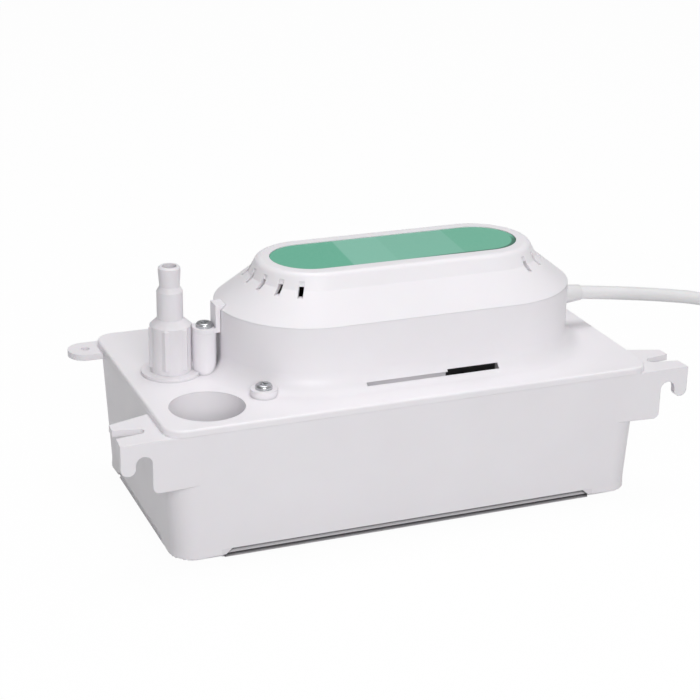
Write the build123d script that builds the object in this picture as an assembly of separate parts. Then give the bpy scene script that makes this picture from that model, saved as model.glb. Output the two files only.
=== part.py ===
from build123d import *
import math
import os

# Tank-type condensate pump: a moulded tank, a cover plate with a raised motor well, a motor cap, a shaded
# pole motor that turns a centrifugal impeller at the bottom of the tank, a float that works two switches,
# a ball check valve in the outlet, and a mains lead. Millimetres, +Z up, feet on Z = 0, origin under the
# middle of the tank; X runs along the tank and -Y is the side with the slotted brackets.

# ---------------------------------------------------------------- driving dimensions
tank_length = 239.0
tank_width = 127.0
tank_height = 66.4
tank_corner = 15.0
tank_wall = 2.6
tank_draft = 3.4
tank_floor = 3.0
foot_height = 3.0
foot_round = 10.0
foot_reach_x = 26.0
foot_reach_y = 24.0
rebate_step = 2.2
rebate_depth = 1.5

cover_overhang = 0.5
cover_thick = 3.4
cover_corner = 9.0
cover_edge_round = 1.1
lip_depth = 4.0
lip_wall = 1.8
lip_clearance = 0.3

bracket_thick = 3.0
bracket_reach = 21.5
bracket_depth = 32.0
slot_end_radius = 2.7
slot_mouth = 9.6
slot_setback = 13.5
slot_length = 14.5
hook_leg = 6.8
hook_notch = 7.6
hook_drop = 14.8
hook_notch_rise = 6.4
flange_drop = 24.8
flange_overlap = 15.0

ear_radius = 8.5
ear_hole_radius = 2.1
ear_offset_x = 7.0
ear_inset_y = 8.4

well_length = 177.4
well_width = 86.4
well_x = 12.5
well_height = 31.0
well_wall = 2.4
well_foot_round = 9.0

cap_mid_rise = 13.1
cap_mid_length = 144.2
cap_mid_width = 59.8
cap_top_rise = 20.2
cap_top_length = 137.0
cap_top_width = 51.0
cap_top_round = 3.6
cap_wall = 2.2
cap_spigot_depth = 5.0
vent_pitch = 20.0
vent_width = 2.4
vent_height = 6.4

cap_lug_drop = 11.0
cap_lug_thick = 2.4
cap_lug_width = 8.0
cap_lug_root = 2.6

label_length = 124.4
label_width = 37.6
label_thick = 0.5
label_recess = 0.9
label_gap = 0.15

inlet_x = -94.6
inlet_y = -40.6
inlet_radius = 17.3
inlet_wall = 2.2
inlet_depth = 13.0

outlet_x = -98.0
outlet_y = 4.4
outlet_disc_radius = 14.0
outlet_disc_height = 1.5
hex_corner_radius = 10.5
hex_height = 20.0
hex_collar_radius = 9.6
hex_collar_height = 2.4
tail_radius = 6.1
tail_height = 18.4
tip_radius = 5.2
tip_height = 10.0
outlet_bore = 3.4
ball_radius = 5.0
ball_lift = 4.0
valve_chamber_radius = 6.8
seat_bore = 3.8
seat_barb_length = 12.0
seat_seal_wire = 1.0

groove_width = 4.2
groove_open_length = 26.0
groove_blind_length = 41.0
groove_x = 21.5
groove_blind_depth = 1.2

motor_x = -14.0
stator_length = 64.0
stator_width = 50.0
stator_stack = 18.0
stator_bore_end = 22.0
stator_bore = 13.2
stator_window = 10.0
stator_leg = 14.0
stator_yoke = 11.5
pole_gap = 2.0
shading_wire = 1.2
motor_lift = 10.2
rotor_gap = 0.4
shaft_radius = 2.5
shaft_clearance = 0.05
bracket_plate = 2.0
bracket_gap = 2.5
strap_width = 18.0
bearing_radius = 6.0
bearing_height = 7.0
bearing_cup_wall = 1.6
motor_screw_radius = 2.0
motor_screw_spread = 20.0
bobbin_flange = 1.4
winding_build = 8.2
bobbin_wall = 1.0

fan_radius = 23.0
fan_hub_radius = 7.0
fan_height = 6.5
fan_blades = 7
fan_clearance = 1.2

column_radius = 13.0
column_wall = 2.4
column_flange_radius = 22.0
column_flange_thick = 3.0
volute_base_z = 12.4
volute_base_thick = 2.4
volute_start_radius = 24.0
volute_growth = 6.0
volute_height = 12.0
volute_wall = 2.2
nozzle_radius = 5.0
nozzle_bore = 3.6
nozzle_length = 38.0
hose_overlap = 8.0
impeller_radius = 21.0
impeller_disc = 1.8
vane_height = 5.5
vane_count = 6
vane_thick = 1.5
impeller_hub_radius = 5.0
impeller_gap = 1.2
eye_radius = 8.0
strainer_posts = 12
strainer_height = 3.4

hose_outer = 7.0
hose_bend = 14.0

float_length = 44.0
float_width = 74.0
float_height = 20.0
float_x = 60.0
float_clear = 1.6
float_travel = 14.0
rod_x = 48.0
rod_radius = 2.0
rod_clearance = 0.08
rod_collar_radius = 4.0
rod_collar_thick = 1.6
rod_collar_gap = 5.2
guide_radius = 4.5
guide_rise = 5.0
guide_drop = 7.0

lever_arm = 24.0
lever_tip_radius = 1.5
lever_plate = 2.0
lever_width = 9.0
lobe_radius = 5.0
lobe_offset = 2.2
pin_radius = 1.5
pin_clearance = 0.05
pivot_rise = 23.6
switch_length = 28.0
switch_width = 10.2
switch_height = 15.9
switch_lift = 1.7
switch_left = 12.0
switch_gap = 0.6
button_radius = 1.6
button_stand = 1.5
button_travel = 1.35
button_gap = 0.1
switch_screw_radius = 1.5
frame_wall = 1.6
frame_tab = 6.4
frame_tab_width = 8.0
frame_side_gap = 0.2

screw_head_radius = 4.0
screw_head_height = 2.2
screw_shank_radius = 1.9
boss_radius = 6.2
cap_boss_radius = 5.6
pad_rise = 3.4
pad_x = 78.9
pad_y = 36.8
cap_screw_length = 12.0
cover_screw_length = 12.0
post_radius = 5.0
small_screw_radius = 1.4
volute_screw_length = 9.0
column_screw_length = 5.0
frame_screw_length = 4.0
volute_ear_radius = 3.4
volute_ear_setout = 1.6
volute_ear_angles = (200, 300, 400)
small_head_radius = 2.8
small_head_height = 1.8

block_x = 68.0
block_y = 25.0
block_pitch = 7.0
block_height = 12.0

cord_radius = 3.4
cord_exit_rise = 16.6
gland_radius = 5.6
gland_lip = 1.6
relief_length = 13.0
relief_sleeve = 4.6
relief_root_radius = 5.0
coil_x = 291.0
coil_y = 41.0
coil_mid_radius = 40.8
coil_columns = 4
coil_rows = 2
plug_boot_length = 13.0
plug_length = 34.0
plug_width = 25.0
plug_height = 21.0

# ---------------------------------------------------------------- derived places
cover_length = tank_length + 2 * cover_overhang
cover_width = tank_width + 2 * cover_overhang
deck_z = tank_height + cover_thick
cord_exit_z = deck_z + cord_exit_rise
well_top = deck_z + well_height
floor_z = foot_height + tank_floor
cap_top = well_top + cap_top_rise
side_x = tank_length / 2
front_y = -tank_width / 2
stator_z = deck_z + motor_lift
motor_mid_z = stator_z + stator_stack / 2
lower_bracket_z = stator_z - bracket_gap - bracket_plate
upper_bracket_z = stator_z + stator_stack + bracket_gap
pivot_x = rod_x + lever_arm
pivot_z = deck_z + pivot_rise
lever_swing = float_travel / lever_arm
lever_droop = lever_swing / 2
volute_top = volute_base_z + volute_height
impeller_z = volute_base_z + impeller_gap
well_end = well_x + well_length / 2
well_end_left = well_x - well_length / 2
cap_lug_z = well_top - cap_lug_drop
cap_screw_x = well_end_left - cap_lug_thick - screw_head_radius - 0.3
relief_tip = well_end + relief_length


# ---------------------------------------------------------------- helpers
def stadium(length, width):
    return SlotOverall(length, width)


def tube(outer, inner, bottom, top, x=0.0, y=0.0):
    ring = Circle(outer) - Circle(inner)
    return Pos(x, y, bottom) * extrude(ring, amount=top - bottom)


def rod(radius, bottom, top, x=0.0, y=0.0):
    return Pos(x, y, bottom) * extrude(Circle(radius), amount=top - bottom)


def block(x0, x1, y0, y1, z0, z1):
    middle = Pos((x0 + x1) / 2, (y0 + y1) / 2, (z0 + z1) / 2)
    return middle * Box(x1 - x0, y1 - y0, z1 - z0)


def across(radius, length):
    """A round bar along +Y from the origin."""
    return Rot(-90, 0, 0) * extrude(Circle(radius), amount=length)


def edges_at(solid, z):
    """The edges along Y at one height."""
    return solid.edges().filter_by(Axis.Y).filter_by_position(Axis.Z, z - 0.1, z + 0.1)


def drafted_box(length, width, corner, bottom, top):
    outline = Pos(0, 0, top) * RectangleRounded(length, width, corner)
    return extrude(outline, amount=-(top - bottom), dir=(0, 0, 1), taper=tank_draft)


def stacked_stadium(levels):
    """A ruled body through stadium outlines, each given as (length, width, z)."""
    outlines = [Pos(well_x, 0, z) * stadium(length, width) for length, width, z in levels]
    return loft(Sketch() + outlines, ruled=True)


def pan_screw(x, y, seat_z, shank_length):
    """A round-headed screw with a cross recess, its head on seat_z and its shank below."""
    dome = Pos(x, y, seat_z) * extrude(Circle(screw_head_radius), amount=screw_head_height)
    dome = fillet(dome.edges().sort_by(Axis.Z)[-1], screw_head_height * 0.6)
    shank = rod(screw_shank_radius, seat_z - shank_length, seat_z, x, y)
    cross = Rectangle(screw_head_radius, 1.0) + Rectangle(1.0, screw_head_radius)
    recess = Pos(x, y, seat_z + screw_head_height) * extrude(cross, amount=-1.2)
    return dome + shank - recess


# ---------------------------------------------------------------- tank
def tank_shell():
    taper = math.tan(math.radians(tank_draft))
    full = drafted_box(tank_length, tank_width, tank_corner, 0, tank_height)
    full = fillet(full.edges().group_by(Axis.Z)[0], foot_round)
    square = drafted_box(tank_length, tank_width, tank_corner, foot_height, tank_height)
    skirt_top = foot_round + foot_height
    reach_x = side_x - foot_reach_x
    reach_y = tank_width / 2 - foot_reach_y
    span_x = block(-reach_x, reach_x, front_y, -front_y, 0, skirt_top)
    span_y = block(-side_x, side_x, -reach_y, reach_y, 0, skirt_top)
    body = full - span_x - span_y
    body += square & (span_x + span_y)

    # The lower edge between the feet is rebated in two steps.
    for step in (1, 2):
        top = foot_height + rebate_step * (3 - step)
        inset = rebate_depth * step + (tank_height - top) * taper
        core = block(-side_x + inset, side_x - inset, front_y + inset, -front_y - inset, 0, top)
        long_ring = block(-reach_x, reach_x, front_y, -front_y, foot_height, top) - core
        short_ring = block(-side_x, side_x, -reach_y, reach_y, foot_height, top) - core
        body -= long_ring + short_ring

    inner = drafted_box(
        tank_length - 2 * tank_wall,
        tank_width - 2 * tank_wall,
        tank_corner - tank_wall,
        floor_z,
        tank_height,
    )
    inner = fillet(inner.edges().group_by(Axis.Z)[0], foot_round - tank_wall)
    return body, inner


def front_bracket():
    """The right-hand bracket: a slotted shelf at the rim and a notched flange in the front wall's plane."""
    tip = side_x + bracket_reach
    back_y = front_y + bracket_depth
    shelf_z = tank_height - bracket_thick
    outline = Polygon(
        (side_x - flange_overlap, front_y),
        (tip, front_y),
        (tip - 1.5, back_y - 7.5),
        (side_x - 3, back_y),
        (side_x - flange_overlap, back_y),
        align=None,
    )
    shelf = Pos(0, 0, shelf_z) * extrude(outline, amount=bracket_thick)
    slot_y = front_y + slot_setback
    slot_end = tip - slot_length + slot_end_radius
    slot = Polygon(
        (slot_end, slot_y - slot_end_radius),
        (tip + 1, slot_y - slot_mouth / 2),
        (tip + 1, slot_y + slot_mouth / 2),
        (slot_end, slot_y + slot_end_radius),
        align=None,
    )
    slot += Pos(slot_end, slot_y) * Circle(slot_end_radius)
    shelf -= Pos(0, 0, shelf_z) * extrude(slot, amount=bracket_thick)

    leg_round = hook_leg / 2 - 0.05
    notch_x = tip - hook_leg - hook_notch / 2
    notch_top = tank_height - hook_notch_rise
    inner_x = side_x - flange_overlap
    plate = block(inner_x, tip, 0, bracket_thick, tank_height - flange_drop, tank_height)
    plate -= block(tip - hook_leg, tip, 0, bracket_thick, 0, tank_height - hook_drop)
    notch_z = notch_top - hook_notch / 2
    plate -= block(notch_x - hook_notch / 2, tip - hook_leg, 0, bracket_thick, 0, notch_z)
    plate -= Pos(notch_x, 0, notch_z) * across(hook_notch / 2, bracket_thick)
    plate = fillet(edges_at(plate, tank_height - hook_drop), leg_round)
    toe = edges_at(plate, tank_height - flange_drop)
    plate = fillet(toe.sort_by(Axis.X)[-1], bracket_thick)
    return shelf + Pos(0, front_y, 0) * plate


def rear_ear():
    x = side_x + ear_offset_x
    y = -front_y - ear_inset_y
    outline = Pos(x, y) * Circle(ear_radius)
    outline += Pos(x - ear_radius, y) * Rectangle(2 * ear_radius, 2 * ear_radius)
    ear = Pos(0, 0, tank_height - bracket_thick) * extrude(outline, amount=bracket_thick)
    return ear - rod(ear_hole_radius, tank_height - bracket_thick, tank_height, x, y)


def make_tank():
    body, inner = tank_shell()
    for piece in (front_bracket(), rear_ear()):
        body += piece + mirror(piece, about=Plane.YZ)
    shell = body - inner
    for x, y in pad_places():
        shell += rod(post_radius, floor_z - 1, tank_height, x, y)
        shell -= rod(screw_shank_radius, tank_height - cover_screw_length, tank_height + 1, x, y)
    return shell


# ---------------------------------------------------------------- cover plate and motor well
def make_tank_cover():
    plate = Pos(0, 0, tank_height) * extrude(
        RectangleRounded(cover_length, cover_width, cover_corner), amount=cover_thick
    )
    plate = fillet(plate.edges().group_by(Axis.Z)[-1], cover_edge_round)
    well = Pos(well_x, 0, deck_z) * extrude(stadium(well_length, well_width), amount=well_height)
    cover = plate + well
    foot = cover.edges().filter_by_position(Axis.Z, deck_z - 0.01, deck_z + 0.01)
    foot = [e for e in foot if abs(e.center().Y) <= well_width / 2 + 0.1 and abs(e.center().X) < cover_length / 2 - 5]
    cover = fillet(foot, well_foot_round)
    cavity = Pos(well_x, 0, deck_z) * extrude(
        stadium(well_length - 2 * well_wall, well_width - 2 * well_wall), amount=well_height
    )
    cover -= cavity

    lip_x = tank_length - 2 * (tank_wall + lip_clearance)
    lip_y = tank_width - 2 * (tank_wall + lip_clearance)
    taper_loss = lip_depth * math.tan(math.radians(tank_draft))
    lip_x, lip_y = lip_x - 2 * taper_loss, lip_y - 2 * taper_loss
    lip_corner = tank_corner - tank_wall
    ring = RectangleRounded(lip_x, lip_y, lip_corner)
    ring -= RectangleRounded(lip_x - 2 * lip_wall, lip_y - 2 * lip_wall, lip_corner - lip_wall)
    cover += Pos(0, 0, tank_height - lip_depth) * extrude(ring, amount=lip_depth)

    collar_bottom = tank_height - inlet_depth
    cover += rod(inlet_radius + inlet_wall, collar_bottom, tank_height, inlet_x, inlet_y)
    cover -= rod(inlet_radius, collar_bottom - 1, deck_z + 1, inlet_x, inlet_y)
    cover += rod(outlet_disc_radius, deck_z, deck_z + outlet_disc_height, outlet_x, outlet_y)
    cover -= rod(hex_collar_radius - 1.6, 0, deck_z + 5, outlet_x, outlet_y)

    # Bosses: motor feet, the cap's screw boss at the left end of the well, and the cover screw pads.
    for y in (-motor_screw_spread, motor_screw_spread):
        cover += rod(motor_screw_radius + 2.5, deck_z - 1, lower_bracket_z, motor_x, y)
        cover -= rod(motor_screw_radius, tank_height - 1, lower_bracket_z + 1, motor_x, y)
    cover += rod(cap_boss_radius, deck_z, cap_lug_z, cap_screw_x, 0)
    cover -= rod(screw_shank_radius, cap_lug_z - cap_screw_length, cap_lug_z + 1, cap_screw_x, 0)
    for x, y in pad_places():
        cover += rod(boss_radius, deck_z, deck_z + pad_rise, x, y) - cavity
        cover -= rod(screw_shank_radius, tank_height - 1, deck_z + 10, x, y)

    # Shaft collar, float guide and cable hole.
    collar_bore = bearing_radius + bearing_cup_wall + 1.0
    cover += tube(collar_bore + 2.0, collar_bore, deck_z - 1, deck_z + 3, motor_x, 0)
    cover -= rod(shaft_radius + 2, tank_height - 1, deck_z + 4, motor_x, 0)
    cover += rod(guide_radius, tank_height - guide_drop, deck_z + guide_rise, rod_x, 0)
    cover -= rod(rod_radius + rod_clearance, tank_height - guide_drop - 1, deck_z + guide_rise + 1, rod_x, 0)
    inside = well_end - well_wall
    level = Pos(0, 0, cord_exit_z) * Rot(0, 90, 0)
    cover -= level * (Pos(0, 0, inside - 2) * extrude(Circle(gland_radius), amount=well_wall + 4))
    cover -= level * (Pos(0, 0, inside - 5) * extrude(Circle(gland_radius + gland_lip + 0.2), amount=5))

    # The groove along the well's front foot: blind to the left, open to the right.
    y = -well_width / 2 - groove_width / 2 + 0.6
    left = groove_x - groove_blind_length
    front, back = y - groove_width / 2, y + groove_width / 2
    cover -= block(left, groove_x, front, back, deck_z - groove_blind_depth, deck_z + 3)
    cover -= block(groove_x, groove_x + groove_open_length, front, back, tank_height - 1, deck_z + 4)

    # Blind holes for the pump column's screws from below, and for the switch cradle's from above.
    for x, y in column_screw_places():
        cover -= rod(small_screw_radius, tank_height - 1, tank_height + 2.4, x, y)
    for x, y in frame_screw_places():
        cover -= rod(small_screw_radius, deck_z - 2.6, deck_z + 1, x, y)
    return cover


def pad_places():
    return [(well_x - pad_x, -pad_y), (well_x + pad_x, pad_y)]


def column_screw_places():
    reach = column_flange_radius - 4.2
    angles = [math.radians(a) for a in (0, 120, 240)]
    return [(motor_x + reach * math.cos(a), reach * math.sin(a)) for a in angles]


# ---------------------------------------------------------------- motor cap, label
def make_motor_cap():
    outer = stacked_stadium(
        [
            (well_length, well_width, well_top),
            (cap_mid_length, cap_mid_width, well_top + cap_mid_rise),
        ]
    )
    outer += stacked_stadium(
        [
            (cap_mid_length, cap_mid_width, well_top + cap_mid_rise),
            (cap_top_length, cap_top_width, well_top + cap_top_rise),
        ]
    )
    outer = fillet(outer.edges().group_by(Axis.Z)[-1], cap_top_round)
    wall = 2 * cap_wall
    inner = stacked_stadium(
        [
            (well_length - wall, well_width - wall, well_top),
            (cap_mid_length - wall, cap_mid_width - wall, well_top + cap_mid_rise - cap_wall * 0.6),
        ]
    )
    inner += stacked_stadium(
        [
            (cap_mid_length - wall, cap_mid_width - wall, well_top + cap_mid_rise - cap_wall * 0.6),
            (cap_top_length - 2 * wall, cap_top_width - 2 * wall, cap_top - cap_wall - label_recess),
        ]
    )
    cap = outer - inner
    spigot_gap = 2 * (well_wall + 0.2)
    ring = stadium(well_length - spigot_gap, well_width - spigot_gap)
    ring -= stadium(well_length - spigot_gap - 3.6, well_width - spigot_gap - 3.6)
    spigot = Pos(well_x, 0, well_top - cap_spigot_depth) * extrude(ring, amount=cap_spigot_depth + 1.0)
    cap += spigot
    cap -= Pos(well_x, 0, cap_top - label_recess) * extrude(
        stadium(label_length + 2 * label_gap, label_width + 2 * label_gap), amount=label_recess + 1
    )
    # A strap from the cap's rim reaches down outside the well and ends in a lug on the screw boss.
    strap_x = well_end_left - cap_lug_thick
    half = cap_lug_width / 2
    cap += block(strap_x, well_end_left - 0.1, -half, half, cap_lug_z, well_top)
    cap += block(strap_x, well_end_left + cap_lug_root, -half, half, well_top, well_top + cap_lug_thick)
    lug = Pos(cap_screw_x, 0) * Circle(cap_boss_radius)
    lug += Pos((cap_screw_x + strap_x) / 2, 0) * Rectangle(strap_x - cap_screw_x, cap_lug_width)
    cap += Pos(0, 0, cap_lug_z) * extrude(lug, amount=cap_lug_thick)
    cap -= rod(screw_shank_radius + 0.2, cap_lug_z - 1, cap_lug_z + cap_lug_thick + 1, cap_screw_x, 0)
    return cap - vent_slots()


def vent_slots():
    """Slots through the foot of the steep band, fanned round both rounded ends."""
    centre_reach = (cap_mid_length - cap_mid_width) / 2
    slots = []
    for side in (-1, 1):
        for k in range(-3, 4):
            angle = (180 if side < 0 else 0) + k * vent_pitch
            turn = Pos(well_x + side * centre_reach, 0, well_top + cap_mid_rise) * Rot(0, 0, angle)
            slit = Pos(cap_mid_width / 2, 0, 0.4) * Box(16, vent_width, vent_height)
            slots.append(turn * slit)
    return slots


def make_label():
    return Pos(well_x, 0, cap_top - label_recess) * extrude(
        stadium(label_length, label_width), amount=label_thick
    )


# ---------------------------------------------------------------- outlet with its ball check valve
hex_bottom = deck_z + outlet_disc_height + hex_collar_height
hex_top = hex_bottom + hex_height
tail_top = hex_top + tail_height
tip_top = tail_top + tip_height
seat_top = hex_bottom + 2.6
chamber_top = hex_top - 3.0
ball_z = seat_top + 3.1
spigot_bottom = tank_height - 4.0


def make_outlet_body():
    outline = [
        (0, spigot_bottom),
        (hex_collar_radius - 1.75, spigot_bottom),
        (hex_collar_radius - 1.75, deck_z + outlet_disc_height),
        (hex_collar_radius, deck_z + outlet_disc_height),
        (hex_collar_radius, hex_top),
        (tail_radius + 1.4, hex_top + 2.0),
        (tail_radius, hex_top + 3.2),
        (tail_radius, tail_top - 2.0),
        (tip_radius - 0.5, tail_top + 0.4),
        (tip_radius, tip_top - 2.4),
        (tip_radius, tip_top - 0.8),
        (tip_radius - 0.8, tip_top),
        (0, tip_top),
    ]
    face = make_face(Plane.XZ * Polyline(*outline, close=True))
    body = revolve(face, Axis.Z)
    hexagon = RegularPolygon(hex_corner_radius, 6)
    nut = Pos(0, 0, hex_bottom) * extrude(hexagon, amount=hex_height)
    nut = chamfer(nut.edges().group_by(Axis.Z)[-1], 0.7)
    body += nut
    body -= rod(outlet_bore, seat_top, tip_top + 1)
    body -= rod(valve_chamber_radius, spigot_bottom - 1, chamber_top)
    # Stop ribs hold the lifted ball off the bore so that water passes round it.
    rib_depth = chamber_top - (ball_z + ball_lift + ball_radius * 0.74)
    for k in range(3):
        rib = Pos(valve_chamber_radius - 1.5, 0, chamber_top - rib_depth / 2) * Box(3.2, 1.2, rib_depth)
        body += Rot(0, 0, 120 * k) * rib
    return Pos(outlet_x, outlet_y, 0) * body


def make_valve_seat():
    bottom = spigot_bottom - seat_barb_length
    outline = [
        (0, bottom),
        (nozzle_radius - 0.8, bottom),
        (nozzle_radius, bottom + 2.0),
        (nozzle_radius, spigot_bottom - 2.0),
        (hex_collar_radius - 1.75, spigot_bottom - 2.0),
        (hex_collar_radius - 1.75, spigot_bottom),
        (valve_chamber_radius, spigot_bottom),
        (valve_chamber_radius, seat_top),
        (0, seat_top),
    ]
    body = revolve(make_face(Plane.XZ * Polyline(*outline, close=True)), Axis.Z)
    body -= rod(nozzle_bore, bottom - 1, seat_top + 1)
    body -= Pos(0, 0, seat_top - 1.4) * Cone(nozzle_bore, ball_radius, 2.0, align=(Align.CENTER, Align.CENTER, Align.MIN))
    return Pos(outlet_x, outlet_y, 0) * body


def make_valve_ball():
    return Pos(outlet_x, outlet_y, ball_z) * Sphere(ball_radius)


# ---------------------------------------------------------------- motor
def make_stator():
    """C-shaped laminations: the rotor bore at the left, the coil's leg at the right, a window between."""
    left = motor_x - stator_bore_end
    right = left + stator_length
    core = block(left, right, -stator_width / 2, stator_width / 2, stator_z, stator_z + stator_stack)
    core = fillet(core.edges().filter_by(Axis.Z), 3)
    window_right = right - stator_leg
    window_half = stator_width / 2 - stator_yoke
    core -= block(window_right - stator_window, window_right, -window_half, window_half, 0, cap_top)
    core -= rod(stator_bore, 0, cap_top, motor_x, 0)
    # The pole gap joins the bore to the window, and the shading slots sit beside the bore.
    core -= block(motor_x, window_right - 1, -pole_gap / 2, pole_gap / 2, 0, cap_top)
    for y in (-motor_screw_spread, motor_screw_spread):
        core -= rod(motor_screw_radius, 0, cap_top, motor_x, y)
    for x, y in shading_places():
        core -= rod(shading_wire, 0, cap_top, x, y)
    return core


def shading_places():
    reach = stator_bore + 2.6
    return [(motor_x + side * reach * 0.72, -side * reach * 0.72) for side in (-1, 1)]


def make_shading_coils():
    """Two copper loops, each with one leg in its slot and one leg outside the stack."""
    loops = []
    for x, y in shading_places():
        outer_y = math.copysign(stator_width / 2 + shading_wire + 0.1, y)
        top = stator_z + stator_stack
        path = FilletPolyline(
            (x, y, stator_z - 1.2),
            (x, y, top + shading_wire),
            (x, outer_y, top + shading_wire),
            (x, outer_y, stator_z - 1.2),
            radius=shading_wire * 1.1,
        )
        profile = Plane(origin=(x, y, stator_z - 1.2), z_dir=(0, 0, 1)) * Circle(shading_wire - 0.02)
        loops.append(sweep(profile, path=path))
    return Compound(children=loops)


def coil_middle():
    return motor_x - stator_bore_end + stator_length - stator_leg / 2


def make_bobbin():
    x = coil_middle()
    hole_x = stator_leg / 2 + 0.05
    hole_z = stator_stack / 2 + 0.05
    half = stator_width / 2 - stator_yoke - 0.3
    wall = bobbin_wall
    low, high = motor_mid_z - hole_z, motor_mid_z + hole_z
    core = block(x - hole_x - wall, x + hole_x + wall, -half, half, low - wall, high + wall)
    reach = wall + winding_build
    for side in (-1, 1):
        y0, y1 = sorted((side * half, side * (half - bobbin_flange)))
        core += block(x - hole_x - reach, x + hole_x + reach, y0, y1, low - reach, high + reach)
    return core - block(x - hole_x, x + hole_x, -half - 1, half + 1, low, high)


def make_winding():
    x = coil_middle()
    inner_x = stator_leg / 2 + 0.05 + bobbin_wall
    inner_z = stator_stack / 2 + 0.05 + bobbin_wall
    half = stator_width / 2 - stator_yoke - 0.3 - bobbin_flange
    build = winding_build - 0.8
    low, high = motor_mid_z - inner_z, motor_mid_z + inner_z
    coil = block(x - inner_x - build, x + inner_x + build, -half, half, low - build, high + build)
    coil = fillet(coil.edges().filter_by(Axis.Y), 4)
    return coil - block(x - inner_x, x + inner_x, -half, half, low, high)


def make_bracket(plate_bottom, cup_side):
    """A bearing bracket: a strap over both screws with a round cup for the bearing."""
    strap_plan = RectangleRounded(strap_width, 2 * motor_screw_spread + 12, 5)
    strap = Pos(motor_x, 0, plate_bottom) * extrude(strap_plan, amount=bracket_plate)
    low = plate_bottom if cup_side > 0 else plate_bottom + bracket_plate - bearing_height
    strap += rod(bearing_radius + bearing_cup_wall, low, low + bearing_height, motor_x, 0)
    strap -= rod(bearing_radius, low - 1, low + bearing_height + 1, motor_x, 0)
    spacer_low, spacer_high = (
        (plate_bottom + bracket_plate, stator_z) if plate_bottom < stator_z else (stator_z + stator_stack, plate_bottom)
    )
    for y in (-motor_screw_spread, motor_screw_spread):
        strap += rod(motor_screw_radius + 1.8, spacer_low, spacer_high, motor_x, y)
        strap -= rod(motor_screw_radius, 0, cap_top, motor_x, y)
    return strap


def make_bearing(low):
    return tube(bearing_radius, shaft_radius + shaft_clearance, low, low + bearing_height, motor_x, 0)


lower_bearing_z = lower_bracket_z + bracket_plate - bearing_height
upper_bearing_z = upper_bracket_z
fan_z = upper_bracket_z + bearing_height + fan_clearance
shaft_bottom = impeller_z + 1.0
shaft_top = fan_z + fan_height


def make_shaft():
    return rod(shaft_radius, shaft_bottom, shaft_top, motor_x, 0)


def make_rotor():
    radius = stator_bore - rotor_gap
    core = tube(radius, shaft_radius, stator_z, stator_z + stator_stack, motor_x, 0)
    ring = tube(radius - 1.2, radius - 5.0, stator_z - 1.6, stator_z, motor_x, 0)
    core += ring + Pos(0, 0, stator_stack + 1.6) * ring
    return core


def make_fan():
    hub = tube(fan_hub_radius, shaft_radius, fan_z, fan_z + fan_height, motor_x, 0)
    blade = Pos(fan_hub_radius / 2 + fan_radius / 2 - 0.6, 0, fan_z + fan_height / 2) * (
        Rot(38, 0, 0) * Box(fan_radius - fan_hub_radius + 2, 7.6, 1.2)
    )
    blade &= Pos(0, 0, fan_z + 0.3) * extrude(Circle(fan_radius), amount=fan_height - 0.6)
    blade -= Pos(0, 0, fan_z - 5) * extrude(Circle(fan_hub_radius - 1.5), amount=fan_height + 10)
    for k in range(fan_blades):
        hub += Pos(motor_x, 0, 0) * (Rot(0, 0, 360 / fan_blades * k) * blade)
    return hub


def make_motor_screws():
    screws = []
    top = upper_bracket_z + bracket_plate
    for y in (-motor_screw_spread, motor_screw_spread):
        head = rod(motor_screw_radius + 1.6, top, top + 2.6, motor_x, y)
        slot = block(motor_x - 4, motor_x + 4, y - 0.5, y + 0.5, top + 1.6, top + 3)
        screws.append(head + rod(motor_screw_radius, tank_height - 1 + 2, top, motor_x, y) - slot)
    return Compound(children=screws)


# ---------------------------------------------------------------- pump end
spiral_points = 12


def spiral_point(angle, offset):
    """A point of the volute's wall, which grows evenly through one turn from the tongue at 90 degrees."""
    r = volute_start_radius + offset + volute_growth * (angle - 90) / 360
    return r * math.cos(math.radians(angle)), r * math.sin(math.radians(angle))


def spiral_face(offset):
    """The volute's plan: the spiral, closed at the tongue."""
    points = [spiral_point(90 + 360 * k / spiral_points, offset) for k in range(spiral_points + 1)]
    edges = [Spline(*points), Line(points[-1], points[0])]
    return make_face(edges)


def make_volute():
    z0 = volute_base_z
    top = volute_top + volute_wall
    body = Pos(motor_x, 0, z0) * extrude(spiral_face(volute_wall), amount=volute_height + volute_wall)
    nozzle_y = volute_start_radius + volute_growth - nozzle_bore
    nozzle_z = z0 + volute_height / 2
    along = Pos(motor_x, nozzle_y, nozzle_z) * Rot(0, -90, 0)
    body += along * extrude(Circle(nozzle_radius), amount=nozzle_length)
    body -= Pos(motor_x, 0, z0) * extrude(spiral_face(0), amount=volute_height)
    body -= along * extrude(Circle(nozzle_bore), amount=nozzle_length + 1)
    column_top = tank_height - column_flange_thick
    body += rod(column_radius, top - 0.5, tank_height, motor_x, 0)
    body += rod(column_flange_radius, column_top, tank_height, motor_x, 0)
    body -= rod(column_radius - column_wall, top, tank_height + 1, motor_x, 0)
    body -= rod(shaft_radius + 1.2, volute_top - 1, top + 1, motor_x, 0)
    # Drain windows through the column, above the volute and under the flange.
    for z in (top + 6, column_top - 8):
        for k in range(3):
            window = Pos(column_radius, 0, z) * Box(10, 8, 7)
            body -= Pos(motor_x, 0, 0) * (Rot(0, 0, 120 * k + 30) * window)
    for x, y in column_screw_places():
        body -= rod(small_screw_radius + 0.1, column_top - 1, tank_height + 1, x, y)
    for x, y in volute_screw_places():
        body += rod(volute_ear_radius, z0, top, x, y) - Pos(motor_x, 0, 0) * extrude(spiral_face(0), amount=100)
        body -= rod(small_screw_radius, z0 - 1, z0 + 9, x, y)
    return body


def volute_screw_places():
    """Three ears that stand out of the spiral wall."""
    places = [spiral_point(angle, volute_wall + volute_ear_setout) for angle in volute_ear_angles]
    return [(motor_x + x, y) for x, y in places]


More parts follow.
